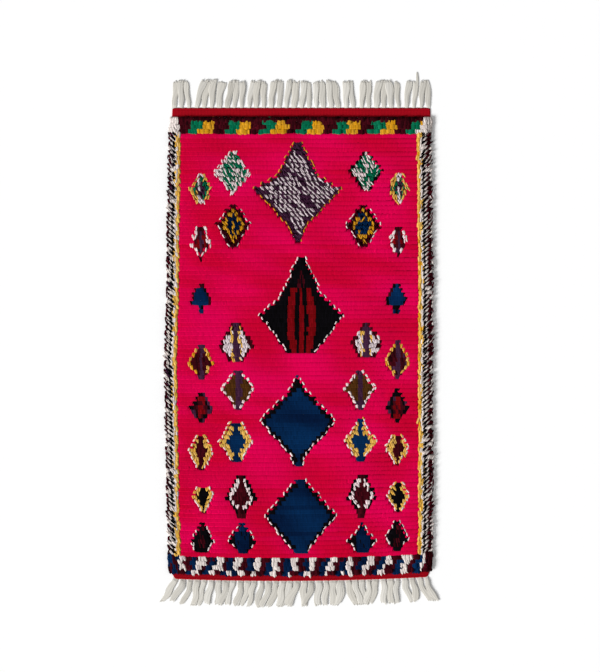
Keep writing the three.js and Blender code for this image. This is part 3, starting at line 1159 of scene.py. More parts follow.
@dataclass(frozen=True)
class NearBand:
    """The knotted band at the near end: white, maroon and blue blocks in turn.

    Attributes:
        first_row: Its first row.
        middle: Middle of the first white block, across the rug.
        period: Distance between white blocks.
        white: Share of the period that is white.
        maroon: Share of the period that is maroon, to the right of the white.
        ragged: Spread of the white blocks' width, as a share of the period.
        slip: How far the blocks of each row lie to the left of those in the first row.
        wander: Spread of that slip between blocks.
        corner: Width of the dark corner at each side.
        mixed: Share of blue where it mixes with maroon, in the first row and in the left corner.
        white_rough: How unevenly the white ends lie.
        white_over: How far they lie above the others.
        spare: Blocks that are counted before the first one.
        blocks: Blocks that have random numbers.
    """

    first_row: int = 101
    middle: float = -488.0
    period: float = 77.2
    white: float = 0.32
    maroon: float = 0.31
    ragged: float = 0.05
    slip: tuple[float, ...] = (-3, 0, 5, 14)
    wander: tuple[float, ...] = (2, 3, 6, 12)
    corner: tuple[float, float] = (34.0, 22.0)
    mixed: float = 0.6
    white_rough: float = 0.52
    white_over: float = 0.6
    spare: int = 10
    blocks: int = 40

    def tie(self, chart: Chart) -> None:
        """Ties the band's knots.

        Args:
            chart: The chart that they are tied in.
        """
        for step, slip in enumerate(self.slip):
            here = chart.line == self.first_row + step
            place = (chart.across - self.middle + slip) / self.period + self.white / 2
            block = np.floor(place).astype(int) + self.spare
            shift = chart.chance.normal(0, self.wander[step] / self.period, self.blocks)[block]
            white = self.white + chart.chance.normal(0, self.ragged, self.blocks)[block]
            place = np.mod(place + shift, 1)
            chart.lean[here] = BAND_LEAN
            chart.rough[here] = BAND_ROUGH
            chart.tie(here, Ring(Yarn.BLUE, 1, self.mixed if step == 0 else 1.0, Yarn.MAROON))
            chart.tie(here & (place < self.white + self.maroon), Ring(Yarn.MAROON))
            pale = here & (place < white)
            chart.tie(pale, Ring(Yarn.CREAM))
            chart.rough[pale] = self.white_rough
            chart.over[pale] = self.white_over
            left = chart.from_side(Side.LEFT) * chart.knot_pitch < self.corner[0]
            right = chart.from_side(Side.RIGHT) * chart.knot_pitch < self.corner[1]
            chart.tie(here & left, Ring(Yarn.BLUE, share=self.mixed, other=Yarn.MAROON))
            chart.tie(here & right, Ring(Yarn.MAROON))


@dataclass(frozen=True)
class SideBorder:
    """The shaggy border along both sides, with one run for each knot from the rim inwards.

    Attributes:
        first_row: First row that has it.
        last_row: First row that hasn't.
        lean: Sideways run of its ends towards the middle over their forward run, at the left and right side.
        over: How far the ends of every other knot lie above the rest.
        girth: Width of those ends over the usual one.
        inner: Its innermost knots, whose ends lie straighter, smoother and over the others.
        inner_lean: Sideways run of those ends.
        inner_over: How far they lie above the others.
        inner_rough: How unevenly they lie.
        size: Length of the outer ends over the usual one.
        left: Yarns of the knots at the left side.
        right: Yarns of the knots at the right side.
    """

    first_row: int = 4
    last_row: int = 101
    lean: tuple[float, float] = (0.9, 1.1)
    over: float = 2.0
    girth: float = 1.15
    inner: int = 2
    inner_lean: float = 0.1
    inner_over: float = 1.6
    inner_rough: float = 0.55
    size: float = 0.95
    left: tuple[Ring, ...] = (
        Ring(Yarn.MAROON, 1, 0.75, Yarn.CREAM),
        Ring(Yarn.CREAM, 1, 0.85, Yarn.PLUM, fine=True),
        Ring(Yarn.BLACK, 1, 0.92, Yarn.CREAM),
        Ring(Yarn.CREAM, 1, 0.7, Yarn.STRAW, fine=True),
        Ring(Yarn.STRAW, 1, 0.95, Yarn.CREAM, fine=True),
    )
    right: tuple[Ring, ...] = (
        Ring(Yarn.MAROON, 1, 0.55, Yarn.CREAM, fine=True),
        Ring(Yarn.MAROON, 1, 0.9, Yarn.CREAM),
        Ring(Yarn.CREAM),
        Ring(Yarn.BLACK, 1, 0.95, Yarn.CREAM),
        Ring(Yarn.CREAM, 1, 0.75, Yarn.STRAW, fine=True),
        Ring(Yarn.STRAW, 1, 0.75, Yarn.GOLD, fine=True),
    )

    def tie(self, chart: Chart) -> None:
        """Ties the border's knots.

        Args:
            chart: The chart that they are tied in.
        """
        rows = (chart.line >= self.first_row) & (chart.line < self.last_row)
        for side, runs, lean in zip(Side, (self.left, self.right), self.lean):
            count = chart.from_side(side)
            for number, run in enumerate(runs):
                chart.tie(rows & (count == number), run)
            here = rows & (count < len(runs))
            inner = here & (count >= len(runs) - self.inner)
            upper = here & ~inner & ((len(runs) - count) % 2 == 1)
            chart.lean[here] = -side.value * lean
            chart.lean[inner] = -side.value * self.inner_lean
            chart.size[here & ~inner] = self.size
            chart.girth[upper] = self.girth
            chart.over[upper] = self.over
            chart.over[inner] = self.inner_over
            chart.rough[here] = FULL_ROUGH
            chart.rough[inner] = self.inner_rough


@dataclass(frozen=True)
class Swell:
    """One slow wave of the dye over the rug, whose crests are bent by a second wave.

    Attributes:
        strength: Its strength.
        row: Rows to a radian.
        across: Millimetres to a radian, across the rug.
        bend: Strength of the second wave.
        bend_row: Rows to a radian of that wave.
        bend_across: Millimetres to a radian of that wave.
        phase: Where the wave starts.
    """

    strength: float
    row: float
    across: float
    bend: float
    bend_row: float
    bend_across: float
    phase: float = 0.0

    def height(self, across: Array, row: Array) -> Array:
        """Height of the wave at places across the rug and their rows."""
        bend = self.bend * np.sin(across / self.bend_across + row / self.bend_row)
        return self.strength * np.sin(row / self.row + across / self.across + self.phase + bend)


SWELLS = (
    Swell(0.5, 3.7, 110, 1.5, -7.9, 170),
    Swell(0.4, 9.1, -260, 1.0, math.inf, 90, phase=0.4),
    Swell(0.4, 1.9, -52, 2.0, 5.3, math.inf),
)
# Waves that make the rows wander: millimetres to a radian across the rug, and radians from row to row.
WANDER = ((83, 2.3), (37, 4.1), (math.inf, 1.9))
# Lumps of the pile: millimetres to a radian across the rug, along it, and of the waves that bend them.
LUMP_ACROSS = 61
LUMP_ALONG = 97
LUMP_BEND = 130


@dataclass(frozen=True)
class Jitter:
    """Spread between yarn ends in a fully shaggy stretch.

    Attributes:
        twin: Spread of the lean between the ends of a knot, over that between knots.
        reach: Spread of the reach, as a share of it.
        across: Spread of the roots across the rug.
        back: Spread of the roots along the rug.
        lift: Spread of the height.
        curl: Spread of the curl of the tips.
    """

    twin: float = 0.4
    reach: float = 0.15
    across: float = 0.7
    back: float = 0.9
    lift: float = 0.7
    curl: float = 1.4


@dataclass
class Ends:
    """Yarn ends of the pile, before they are built.

    Attributes:
        yarn: The yarn of each.
        row: The row that it is tied in.
        root: Its root, across the rug and along it.
        lean: Its sideways run over its forward run.
        reach: How far it lies over.
        lift: How far it stands above the pile.
        fall: Height of its tip over the usual height.
        curl: How far its tip curls sideways.
        width: Its full width.
        depth: Its full depth.
        dye: Its linear colour.
    """

    yarn: Array
    row: Array
    root: Array
    lean: Array
    reach: Array
    lift: Array
    fall: Array
    curl: Array
    width: Array
    depth: Array
    dye: Array

    def pick(self, here: Array) -> "Ends":
        """Only some of the ends."""
        return Ends(*(getattr(self, name)[here] for name in self.__dataclass_fields__))


@dataclass
class Pile:
    """The knotted pile: each knot leaves two yarn ends, which lie over towards the near end.

    Attributes:
        loom: The rug's layout.
        seed: Start of its random numbers.
        reach: How far an end lies over in a smooth stretch and in a shaggy one.
        root_back: How far its root lies behind the row's far side in each.
        path: Share of the reach and height of the four points that bend an end.
        stations: Places along the bend that are built, and the width there over the full width.
        plain_stations: The same for the plain field.
        plain_width: Full width of an end in the smoothest stretches, away from other yarns.
        end_width: Full width of an end in a smooth stretch and in a shaggy one.
        end_depth: Full depth of an end in each.
        first_back: The most that a root of the first row lies behind the far edge of the pile.
        stray: Spread of the lean between knots, in a shaggy stretch.
        shows: Share of a row's pitch, from its far side, where its ends show most.
        row_shift: Spread of the rows' sideways shift, in knots.
        smooth: Unevenness below which a stretch counts as smooth.
        most_lean: The most that an end leans.
        rim_lean: Lean of the outermost ends over that of the others.
        rim_stray: Spread of their lean over that of the others.
        rim_fall: Height of the tips of the three outermost knots over the usual height.
        foot: Share of an end's sideways run that its root is set back by.
        hang: Most extra reach of the last row, as a share of it, and height of its tips over the usual one.
        girth_spread: Spread of the width in a smooth stretch and in a shaggy one.
        twin: Place of a knot's right end beside its middle, in knots.
        lean_cost: How much of its reach an end loses by its lean.
        wander: How far the rows wander.
        shaggy_lift: How far a shaggy stretch stands above a smooth one.
        arch: Part of half a wave that the lift of an end follows from root to tip.
        batch: Spread of the dye between rows.
        contrast: How sharply the dye changes.
        bias: How far it leans towards the usual colour.
        jitter: Spread between ends.
        sides: Sides of an end.
        chart: The yarn of every knot.
        row: The row of every knot.
        root: Where every knot is tied, across the rug.
    """

    loom: Loom
    seed: int = 11
    reach: tuple[float, float] = (34.0, 21.0)
    root_back: tuple[float, float] = (12.0, 5.5)
    path: tuple[tuple[float, float], ...] = ((0, 3.0), (0.0, 17.5), (0.25, 16.5), (1, 16.6))
    stations: tuple[tuple[float, float], ...] = ((0, 0.75), (0.4, 0.95), (0.7, 1), (0.92, 0.8), (1, 0))
    plain_stations: tuple[tuple[float, float], ...] = ((0, 0.8), (0.55, 1), (0.94, 1), (1, 0))
    plain_width: float = 34.0
    end_width: tuple[float, float] = (13.0, 5.6)
    end_depth: tuple[float, float] = (2.4, 4.2)
    first_back: float = 4.0
    stray: float = 0.28
    shows: float = 0.45
    row_shift: float = 0.12
    smooth: float = 0.4
    most_lean: float = 1.1
    rim_lean: float = 0.4
    rim_stray: float = 1.4
    rim_fall: tuple[float, float, float] = (0.55, 0.8, 1.0)
    foot: float = 0.4
    hang: tuple[float, float] = (0.22, 0.5)
    girth_spread: tuple[float, float] = (0.015, 0.07)
    twin: float = 0.25
    lean_cost: float = 0.4
    wander: float = 0.5
    shaggy_lift: float = 0.6
    arch: float = 0.75
    batch: float = 0.25
    contrast: float = 0.9
    bias: float = 0.15
    jitter: Jitter = Jitter()
    sides: int = 4
    chart: Chart = field(init=False)
    row: Array = field(init=False)
    root: Array = field(init=False)

    def __post_init__(self) -> None:
        """Sets out the knots and charts their yarns."""
        chance = np.random.default_rng(self.seed)
        loom = self.loom
        row, knot = (part.ravel() for part in np.mgrid[0:loom.rows, 0:loom.knots])
        left, right = (loom.rim(side, row + self.shows) for side in Side)
        pitch = (left + right) / loom.knots
        shift = chance.normal(0, self.row_shift, loom.rows)[row]
        self.root = -left + (knot + 0.5 + shift) * pitch
        self.row = row
        shown = loom.along(row + self.shows) / loom.row_pitch
        usual = float(pitch.mean())
        self.chart = Chart(self.root, shown, row, knot, loom.knots, usual, loom.row_pitch, chance)
        for figure in (*MOTIFS, SideBorder(), FarBand(), NearBand()):
            figure.tie(self.chart)

    def wave(self, across: Array, row: Array) -> Array:
        """Changes the dye slowly from one batch of yarn to the next.

        Args:
            across: Places across the rug.
            row: The row at each place.

        Returns:
            How far the dye leans towards the cast at each, from 0 to 1.
        """
        chance = np.random.default_rng(self.seed + 1)
        batch = chance.normal(0, self.batch, self.loom.rows)[row]
        slow = sum(swell.height(across, row) for swell in SWELLS)
        return 0.5 + 0.5 * np.tanh(self.contrast * (slow + batch) - self.bias)

    def ends(self) -> Ends:
        """Lays the yarn ends.

        Returns:
            The two ends of every knot, row by row.
        """
        chance = np.random.default_rng(self.seed + 2)
        loom, chart, jitter = self.loom, self.chart, self.jitter
        knots, count = len(self.row), 2 * len(self.row)
        twice = np.repeat(np.arange(knots), 2)
        beside = np.tile((-self.twin, self.twin), knots) * chart.knot_pitch
        yarn, row, rough = chart.yarn.ravel(), self.row[twice], chart.rough[twice]
        shaggy = ease(rough, self.smooth, FULL_ROUGH)
        rim = np.minimum(chart.from_side(Side.LEFT), chart.from_side(Side.RIGHT))[twice]
        stray = np.where(rim == 0, self.rim_stray, 1.0) * self.stray * rough
        lean = chart.lean[twice] * np.where(rim == 0, self.rim_lean, 1.0)
        lean = lean + stray * chance.normal(0, 1, knots)[twice]
        lean = lean + jitter.twin * stray * chance.normal(0, 1, count)
        lean = np.clip(lean, -self.most_lean, self.most_lean)
        reach = blend(*self.reach, shaggy) * (1 + jitter.reach * rough * chance.normal(0, 1, count))
        reach = reach * chart.size[twice] / np.sqrt(1 + self.lean_cost * lean ** 2)
        hang = (row == loom.rows - 1) & (yarn != Yarn.MAROON)
        reach = reach * np.where(hang, 1 + self.hang[0] * chance.random(knots)[twice], 1.0)

        root_x = self.root[twice] + beside + jitter.across * rough * chance.normal(0, 1, count)
        root_x = root_x - self.foot * lean * reach
        wavy = sum(np.sin(root_x / run + turn * row) for run, turn in WANDER)
        back = blend(*self.root_back, shaggy) + self.wander * wavy
        back = back + jitter.back * rough * chance.normal(0, 1, count)
        short = np.where(row == 0, np.maximum(back - self.first_back, 0), 0)
        reach = reach - short
        root_y = back - short - loom.along(row) + loom.bow(root_x, row)
        lump = np.sin(root_x / LUMP_ACROSS + np.sin(root_y / LUMP_BEND))
        lump = lump * np.sin(root_y / LUMP_ALONG + np.sin(root_x / LUMP_BEND))
        lift = lump + chart.over[twice] + self.shaggy_lift * shaggy
        lift = lift + jitter.lift * rough * chance.normal(0, 1, count)
        fall = np.where(hang, self.hang[1], np.interp(rim, (0, 1, 2), self.rim_fall))
        curl = jitter.curl * rough * chance.normal(0, 1, count)
        girth = chart.girth[twice] * (1 + blend(*self.girth_spread, shaggy) * chance.normal(0, 1, count))
        change = np.diff(yarn.reshape(loom.rows, -1), axis=1, prepend=-1, append=-1) != 0
        edge = change[:, 1:] | change[:, :-1]
        edge[:, 1:-1] |= edge[:, 2:] | edge[:, :-2]
        plain = (rough < self.smooth) & ~edge.ravel()
        width = np.where(plain, self.plain_width, blend(*self.end_width, shaggy)) * girth
        thick = blend(*self.end_depth, shaggy) * girth
        depth = chance.normal(0, 1, count)
        cast = np.where(np.isin(yarn, BATCHED), self.wave(root_x, row), chance.random(count))
        dye = np.zeros((count, 3))
        for kind, wool in WOOLS.items():
            dye[yarn == kind] = wool.dye(cast[yarn == kind], depth[yarn == kind])
        root = np.stack((root_x, root_y), axis=1)
        return Ends(yarn, row, root, lean, reach, lift, fall, curl, width, thick, dye)

    def bend(self, ends: Ends, stations: tuple[tuple[float, float], ...]) -> Strands:
        """Bends yarn ends over.

        Args:
            ends: The ends.
            stations: Places along the bend and their widths.

        Returns:
            The bent ends.
        """
        along, taper = np.array(stations).T
        weights = np.stack((
            (1 - along) ** 3, 3 * along * (1 - along) ** 2, 3 * along ** 2 * (1 - along), along ** 3,
        ), axis=1)
        forward, height = (weights @ np.array(self.path)).T
        forward = forward * ends.reach[:, None]
        rise = ends.lift[:, None] * np.sin(self.arch * math.pi * along)
        height = height * blend(1, ends.fall[:, None], along) + rise
        across = ends.root[:, :1] + ends.lean[:, None] * forward + ends.curl[:, None] * along ** 2
        spine = np.stack((across, ends.root[:, 1:] - forward, height), axis=2)
        aside = unit(np.stack((np.ones(len(ends.lean)), ends.lean, np.zeros(len(ends.lean))), axis=1))
        half = taper * MM / 2
        width, depth = ends.width[:, None] * half, ends.depth[:, None] * half
        return Strands(self.loom.place(spine), aside, width, depth, ends.dye, self.sides)

    def build(self, finish: YarnFinish, plain_pieces: int = 3) -> list[bpy.types.Object]:
        """Makes the pile, one piece for each yarn and several for the plain pink field.

        Args:
            finish: Finish of the yarn.
            plain_pieces: Pieces that the plain field is split into, from far to near.

        Returns:
            The pieces.
        """
        ends = self.ends()
        pieces = []
        for kind, wool in WOOLS.items():
            material = finish.material(f"{kind.name.lower()}_pile_wool")
            plain = kind is Yarn.PINK
            shares = plain_pieces if plain else 1
            for number in range(shares):
                some = ends.pick((ends.yarn == kind) & (ends.row * shares // self.loom.rows == number))
                strands = self.bend(some, self.plain_stations if plain else self.stations)
                name = f"pile_{kind.name.lower()}" + (f"_{number + 1}" if plain else "")
                pieces.append(strands.parts().piece(name, material, wool.slot, "pile_body"))
        return pieces


@dataclass
class Ground:
    """The woven ground under the pile, which shows the backs of the knots on its underside.

    Attributes:
        loom: The rug's layout.
        thick: Its thickness.
        inset: How far its sides stay inside the rim of the pile.
        gap: Distance between it and the flat weaves.
    """

    loom: Loom
    thick: float = 6.0
    inset: float = 6.0
    gap: float = 0.3

    def build(self, finish: WeaveFinish, chart: Chart) -> bpy.types.Object:
        """Makes the ground.

        Args:
            finish: Finish of its weave.
            chart: The yarns of the knots.

        Returns:
            The piece.
        """
        loom = self.loom
        row, knot = np.mgrid[0:loom.rows + 1, 0:loom.knots + 1]
        left, right = (loom.rim(side, row) - self.inset for side in Side)
        across = blend(-left, right, knot / loom.knots)
        along = np.clip(-loom.along(row), self.gap - loom.length, -self.gap) + loom.bow(across, row)
        top = loom.place(np.stack((across, along, np.full(across.shape, self.thick)), axis=2))
        knots = chart.yarn[:, 0].reshape(loom.rows, loom.knots)
        dye = np.array([linear(WOOLS[kind].colour) for kind in Yarn])[knots]
        weave = np.stack((across, along), axis=2) * MM
        parts = slab(top, 0.0, weave, dye)
        return parts.piece("woven_ground", finish.material("woven_ground_wool"), WEFT.slot, "pile_body")


@dataclass(frozen=True)
class Clump:
    """Locks of the fringe that lie together.

    Attributes:
        locks: How many.
        lean: How far their tips lie to the right of their roots.
        draw: Spacing of the tips over that of the roots.
        reach: Length of a lock beyond the weave.
        stray: Extra length of one loose warp end.
    """

    locks: int
    lean: float
    draw: float
    reach: float
    stray: float = 0.0


@dataclass(frozen=True)
class End:
    """One end of the rug, from the edge of the pile outwards.

    Attributes:
        name: Its name in the frame.
        outward: 1 for the far end, -1 for the near end.
        row: The row at the edge of the pile.
        weave: Length of the flat weave.
        at_pile: Reach of the weave to the left and right at the pile.
        at_fringe: Reach of the weave at the fringe.
        roots: Where the first and last locks leave the weave.
        clumps: The fringe, from left to right.
        fullness: Width of a lock at its root, at a third of its length and near its tip.
        wave: How far a lock swings to each side on its way.
        seed: Start of its random numbers.
    """

    name: str
    outward: int
    row: int
    weave: float
    at_pile: tuple[float, float]
    at_fringe: tuple[float, float]
    roots: tuple[float, float]
    clumps: tuple[Clump, ...]
    fullness: tuple[float, float, float]
    wave: float
    seed: int


FAR_END = End(
    "far", 1, 0, 40.0, (530, 540), (528, 539), (-522, 532),
    (
        Clump(3, 0, 0.75, 113), Clump(3, 26, 0.58, 115), Clump(3, 6, 0.8, 112), Clump(1, 18, 1, 110),
        Clump(1, 12, 1, 112), Clump(1, 0, 1, 112), Clump(1, 6, 1, 108), Clump(3, 10, 0.8, 114),
        Clump(3, 8, 0.62, 111), Clump(1, -10, 1, 108), Clump(3, -12, 0.66, 113), Clump(2, -12, 0.4, 111),
        Clump(2, 5, 0.7, 112), Clump(3, 0, 0.7, 113), Clump(1, 3, 1, 108), Clump(1, 16, 1, 110),
        Clump(1, 8, 1, 110, stray=36), Clump(2, 2, 0.85, 112),
    ),
    fullness=(13.0, 20.0, 27.0), wave=2.5, seed=31,
)
NEAR_END = End(
    "near", -1, 105, 25.0, (531, 538), (518, 527), (-512, 521),
    (
        Clump(2, -54, 1.7, 92), Clump(1, -32, 1, 105), Clump(2, -26, 0.9, 105), Clump(3, -20, 1.0, 101),
        Clump(3, -28, 1.0, 103), Clump(4, -30, 1.0, 107), Clump(3, -28, 0.95, 105), Clump(2, -13, 0.95, 103),
        Clump(4, 0, 0.75, 103), Clump(5, 8, 0.55, 101), Clump(3, 0, 0.65, 103), Clump(2, 24, 0.8, 98),
        Clump(2, 46, 0.8, 95),
    ),
    fullness=(21.0, 24.0, 24.0), wave=5.0, seed=41,
)


@dataclass
class FlatWeave:
    """A flat-woven strip between the pile and the fringe.

    Attributes:
        loom: The rug's layout.
        end: The end of the rug that it closes.
        thick: Its thickness.
        edge_thick: Its thickness at its rounded edges.
        edge: Width of a rounded edge.
        corner: Radius of its two outer corners.
        fade: How much paler it is at the fringe than at the pile.
        warp_pitch: Distance between warps, which show as ribs.
        rib: Height of a rib.
        gap: Distance between it and the pile's ground.
        overlap: How far its last weft lies over the roots of the fringe.
        lines: Lines of points along it.
        rib_points: Points across each rib.
        streak: Spread of the colour between lines, and between faces of a line.
    """

    loom: Loom
    end: End
    thick: float = 5.0
    edge_thick: float = 3.0
    edge: float = 4.0
    corner: float = 8.0
    # fade: How much darker the weft is painted next to the pile than at the fringe, as painted shade.
    fade: float = 4.0
    warp_pitch: float = 6.0
    rib: float = 0.5
    gap: float = 0.3
    overlap: float = 1.5
    lines: int = 13
    rib_points: int = 4
    streak: tuple[float, float] = (0.3, 0.1)

    def build(self, finish: WeaveFinish) -> bpy.types.Object:
        """Makes the strip.

        Args:
            finish: Finish of its weave.

        Returns:
            The piece.
        """
        end, loom = self.end, self.loom
        chance = np.random.default_rng(end.seed)
        length = end.weave + self.overlap
        far_first = np.linspace(0, 1, self.lines)[::-end.outward]
        out = self.gap + far_first * (length - self.gap)
        columns = self.rib_points * int(sum(end.at_pile) / self.warp_pitch) + 1
        across_share = np.linspace(0, 1, columns)
        step, share = np.meshgrid(out, across_share, indexing="ij")
        turned = np.clip((step - length + self.corner) / self.corner, 0, 1)
        inset = self.corner * (1 - np.sqrt(1 - turned ** 2))
        left = blend(end.at_pile[0], end.at_fringe[0], step / length) - inset
        right = blend(end.at_pile[1], end.at_fringe[1], step / length) - inset
        across = blend(-left, right, share)
        along = -end.row * loom.row_pitch + end.outward * step
        along = along + loom.bow(across, np.full(step.shape, end.row))
        inward = np.minimum(step - self.gap, length - step)
        inward = np.minimum(inward, np.minimum(left + across, right - across))
        full = ease(inward, 0, self.edge)
        ribs = np.cos(2 * math.pi * np.arange(columns) / self.rib_points)
        height = blend(self.edge_thick, self.thick, full) + self.rib * ribs * full
        top = loom.place(np.stack((across, along, height), axis=2))
        lines = chance.normal(0, 1, step.shape[0] - 1)
        faces = chance.normal(0, 1, (len(lines), columns - 1))
        cast = np.clip(0.5 + self.streak[0] * lines[:, None] + self.streak[1] * faces, 0, 1)
        # Painted shade: each line of weft gets darker towards the pile and paler towards the fringe, on top
        # of its random tone.
        depth = lines + self.fade * (out[1:] / length - 0.5)
        dye = WEFT.dye(cast.ravel(), np.repeat(depth, columns - 1)).reshape(*cast.shape, 3)
        parts = slab(top, 0.0, np.stack((across, along), axis=2) * MM, dye)
        name = f"flat_weave_{end.name}"
        material = finish.material(f"{name}_wool")
        return parts.piece(f"{name}_cloth", material, WEFT.slot, name)


# Random phases of the waves along a lock run from 0 to here, in radians.
MOST_PHASE = 6


@dataclass
class Fringe:
    """Bare warp ends that leave the weave in matted locks, with loose strands on each.

    Attributes:
        loom: The rug's layout.
        end: The end of the rug that it hangs from.
        strands: Loose strands on a lock.
        width: Width of a loose strand.
        thick: Thickness of a lock, and of a loose strand on it.
        depth: How far its root lies in the weave.
        extra: How far the longest strands reach past the solid fringe.
        short: How far the matted body of a lock ends before them.
        uneven: Spread of the length between strands.
        stray: Spread of the tips of the locks, sideways.
        straight: Share of its length that a lock runs straight out before it leans.
        gap: Distance between the weave and the solid fringe.
        lone: Width of a lock that lies alone over that of one in a clump.
        layer: Height of every other lock over those beside it.
        taper: Width along a strand over the usual width.
        swell: Thickness along it over the usual thickness.
        marks: Shares of a lock's length where the end's fullness is given.
        spread: Spread of the width between locks, and between loose strands.
        pinch: Share of the width by which a lock swells and narrows along its length.
        inset: How far the outermost strands lie inside the sides of a lock, in strand widths.
        swing: How far a loose strand swings to each side.
        clear: Distance between a lock and the floor.
        square: Power that squares off the section of a lock.
        turns: Radians along a lock of its own wave, of its width and of a loose strand's swing.
        wave_span: Shares of the length between which its wave grows to its full height.
        layer_span: The same for the height of every other lock.
        scatter: Spread of the loose strands over a lock, in half widths.
        stations: Places along a strand that are built, before its tip.
        last: Where the last of them lies, as a share of the length.
        sides: Sides of a strand.
    """

    loom: Loom
    end: End
    strands: int = 4
    width: float = 9.0
    thick: tuple[float, float] = (5.6, 3.2)
    depth: float = 5.0
    extra: float = 6.0
    short: float = 8.0
    uneven: float = 12.0
    stray: float = 6.0
    straight: float = 0.45
    gap: float = 0.3
    lone: float = 0.85
    layer: float = 2.2
    taper: tuple[tuple[float, float], ...] = ((0, 0.9), (0.8, 1), (0.9, 0.9), (0.96, 0.7), (1, 0))
    swell: tuple[tuple[float, float], ...] = ((0, 0.4), (0.05, 0.45), (0.16, 1), (0.5, 0.9), (1, 0.7))
    marks: tuple[float, float, float] = (0, 0.3, 0.85)
    spread: tuple[float, float] = (0.12, 0.15)
    pinch: float = 0.1
    inset: float = 0.4
    swing: float = 1.5
    clear: float = 0.1
    square: float = 0.55
    turns: tuple[float, float, float] = (6, 7, 5)
    wave_span: tuple[float, float] = (0.1, 0.5)
    layer_span: tuple[float, float] = (0.08, 0.3)
    scatter: float = 0.15
    stations: int = 13
    last: float = 0.96
    sides: int = 8

    @property
    def pitch(self) -> float:
        """Distance between the roots of two locks."""
        first, last = self.end.roots
        return (last - first) / (sum(clump.locks for clump in self.end.clumps) - 1)

    @property
    def along(self) -> Array:
        """Places along a strand that are built."""
        return np.append(np.linspace(0, self.last, self.stations), 1.0)

    def profile(self, marks: Sequence[tuple[float, float]]) -> Array:
        """Reads marks at the places that are built."""
        places, shares = zip(*marks)
        return np.interp(self.along, places, shares)

    def lock(
        self, root: float, tip: float, clump: Clump, number: int, chance: np.random.Generator
    ) -> tuple[Array, Array, Array]:
        """Lays one lock: its matted body and then its loose strands.

        Args:
            root: Where the lock leaves the weave, across the rug.
            tip: Where its tip lies.
            clump: The clump that it belongs to.
            number: Its number in the fringe.
            chance: Random numbers.

        Returns:
            Points: strands, stations, axes. Then the half width and half thickness at each station.
        """
        end, loom, along = self.end, self.loom, self.along
        weave_end = -end.row * loom.row_pitch + end.outward * (end.weave + self.gap)
        weave_end = weave_end + float(loom.bow(np.array(root), np.array(end.row)))
        tip = tip + self.stray * chance.normal()
        bend_x = blend(root, tip, self.straight / 2)
        middle = root * (1 - along) ** 2 + 2 * bend_x * along * (1 - along) + tip * along ** 2
        wave = np.sin(self.turns[0] * along + chance.uniform(0, MOST_PHASE))
        middle = middle + end.wave * wave * ease(along, *self.wave_span)
        run = 2 * self.straight * along * (1 - along) + along ** 2
        alone = self.lone if clump.locks == 1 else 1.0
        body = self.profile(tuple(zip(self.marks, end.fullness))) * alone
        body = body * (1 + self.spread[0] * chance.normal()) / 2
        body = body * (1 + self.pinch * np.sin(self.turns[1] * along + chance.uniform(0, MOST_PHASE)))
        taper, swell = self.profile(self.taper), self.profile(self.swell)
        scatter = chance.normal(0, self.scatter, self.strands)
        beside = np.append(0.0, np.linspace(-1, 1, self.strands) + scatter)
        short = np.append(self.short, self.uneven * chance.random(self.strands) ** 2)
        short[-1] -= clump.stray
        room = np.maximum(body - self.inset * self.width, 0)
        phase = chance.uniform(0, MOST_PHASE, len(beside))
        swing = self.swing * np.sin(self.turns[2] * along + phase[:, None]) * along
        across = middle + beside[:, None] * room + swing
        out = -self.depth + run * (clump.reach + self.extra + self.depth - short[:, None])
        loose = self.width / 2 * (1 + self.spread[1] * chance.normal(0, 1, self.strands))
        half_width = taper * np.concatenate((body[None], np.tile(loose[:, None], len(along))))
        half_thick = swell * np.append(self.thick[0], np.full(self.strands, self.thick[1]))[:, None] / 2
        lift = (number % 2) * self.layer * ease(along, *self.layer_span)
        height = half_thick[:1] + lift + self.clear + np.zeros((len(beside), 1))
        spine = np.stack((across, weave_end + end.outward * out, height), axis=2)
        return spine, half_width, half_thick

    def build(self, finish: YarnFinish) -> bpy.types.Object:
        """Makes the fringe of one end.

        Args:
            finish: Finish of the warp yarn.

        Returns:
            The piece.
        """
        end = self.end
        chance = np.random.default_rng(end.seed + 1)
        laid, number = [], 0
        for clump in end.clumps:
            middle = end.roots[0] + self.pitch * (number + (clump.locks - 1) / 2)
            for place in range(clump.locks):
                beside = (place - (clump.locks - 1) / 2) * self.pitch
                tip = middle + clump.lean + beside * clump.draw
                laid.append(self.lock(middle + beside, tip, clump, number + place, chance))
            number += clump.locks
        spine, half_width, half_thick = (np.concatenate(part) for part in zip(*laid))
        count = len(spine)
        run = spine[:, -1] - spine[:, 0]
        aside = unit(np.stack((-run[:, 1], run[:, 0], np.zeros(count)), axis=1) * -end.outward)
        dye = WARP.dye(chance.random(count), chance.normal(0, 1, count))
        spine, half_width, half_thick = self.loom.place(spine), half_width * MM, half_thick * MM
        parts = Strands(spine, aside, half_width, half_thick, dye, self.sides, self.square).parts()
        parts.smooth = False
        name = f"fringe_{end.name}"
        material = finish.material(f"{name}_wool")
        return parts.piece(f"{name}_warps", material, WARP.slot, name)


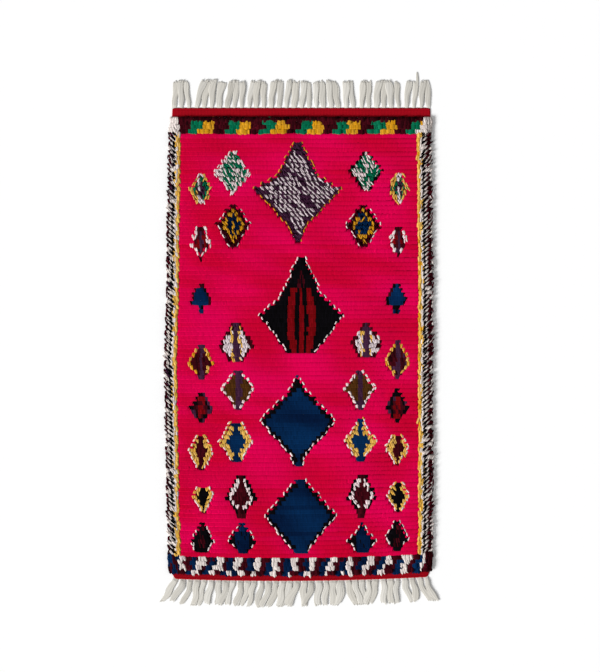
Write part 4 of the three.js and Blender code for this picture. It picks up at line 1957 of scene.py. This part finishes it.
@dataclass
class Studio:
    """Floor, light and camera.

    Attributes:
        loom: The rug's layout.
        view_height: Height of the view at the rug, in metres.
        view_middle: Middle of the view, across the rug and along it.
        lens: Focal length of the camera.
        sensor: Long side of its sensor.
        floor_side: Side of the square floor, in metres.
        floor_colour: Colour of the floor.
        floor_rough: Its roughness.
        sky: Strength of the light from all round.
        sun: Strength of the key light.
        sun_angle: Width of the key light, in degrees.
        sun_from: Direction of the key light.
    """

    loom: Loom
    view_height: float = 2.782
    view_middle: tuple[float, float] = (0.0, -902.5)
    lens: float = 100.0
    sensor: float = 36.0
    floor_side: float = 30.0
    floor_colour: Colour = (0.93, 0.93, 0.93)
    floor_rough: float = 0.9
    sky: float = 0.4
    sun: float = 4.4
    sun_angle: float = 24.0
    sun_from: tuple[float, float, float] = (-0.76, -0.42, 0.48)

    def floor(self) -> None:
        """Makes the pale floor."""
        half = self.floor_side / 2
        mesh = bpy.data.meshes.new("floor")
        corners = [(-half, -half, 0), (half, -half, 0), (half, half, 0), (-half, half, 0)]
        mesh.from_pydata(corners, [], [(0, 1, 2, 3)])
        shader = Shader("floor_paint")
        shader.surface.inputs["Base Color"].default_value = (*self.floor_colour, 1.0)
        shader.surface.inputs["Roughness"].default_value = self.floor_rough
        mesh.materials.append(shader.material)
        made = bpy.data.objects.new("floor", mesh)
        bpy.context.scene.collection.objects.link(made)

    def light(self) -> None:
        """Sets a wide key light and an even white surround."""
        scene = bpy.context.scene
        lamp = bpy.data.lights.new("key_light", "SUN")
        lamp.energy = self.sun
        lamp.angle = math.radians(self.sun_angle)
        made = bpy.data.objects.new("key_light", lamp)
        made.rotation_mode = "QUATERNION"
        made.rotation_quaternion = Vector(self.sun_from).to_track_quat("Z", "Y")
        scene.collection.objects.link(made)
        world = bpy.data.worlds.new("surround")
        scene.world = world
        world.use_nodes = True
        world.node_tree.nodes["Background"].inputs["Color"].default_value = (1, 1, 1, 1)
        world.node_tree.nodes["Background"].inputs["Strength"].default_value = self.sky
        scene.view_settings.view_transform = "Standard"

    def camera(self) -> None:
        """Looks straight down on the rug."""
        data = bpy.data.cameras.new("camera")
        data.lens = self.lens
        data.sensor_width = self.sensor
        made = bpy.data.objects.new("camera", data)
        middle = self.loom.place(np.array((*self.view_middle, 0.0)))
        made.location = (middle[0], middle[1], self.view_height * self.lens / self.sensor)
        bpy.context.scene.collection.objects.link(made)
        bpy.context.scene.camera = made

    def build(self) -> None:
        """Sets the whole studio."""
        self.floor()
        self.light()
        self.camera()


def main() -> None:
    """Builds the rug piece by piece."""
    logging.basicConfig(level=logging.INFO, format="%(message)s")
    loom = Loom()
    Studio(loom).build()
    pile_yarn = YarnFinish(plies=2, twist=90.0, relief=0.5, mottle_and_ply_shade=0.35)
    warp_yarn = YarnFinish(plies=7, twist=12.0, relief=0.5, mottle_and_ply_shade=0.15)
    weave = WeaveFinish()
    pile = Pile(loom)
    shown = pile.build(pile_yarn)
    for end in (FAR_END, NEAR_END):
        shown.append(FlatWeave(loom, end).build(weave))
        shown.append(Fringe(loom, end).build(warp_yarn))
    ground = Ground(loom).build(weave, pile.chart)
    LOG.info("pieces: %d", len(shown) + 1)


if __name__ == "__main__":
    main()
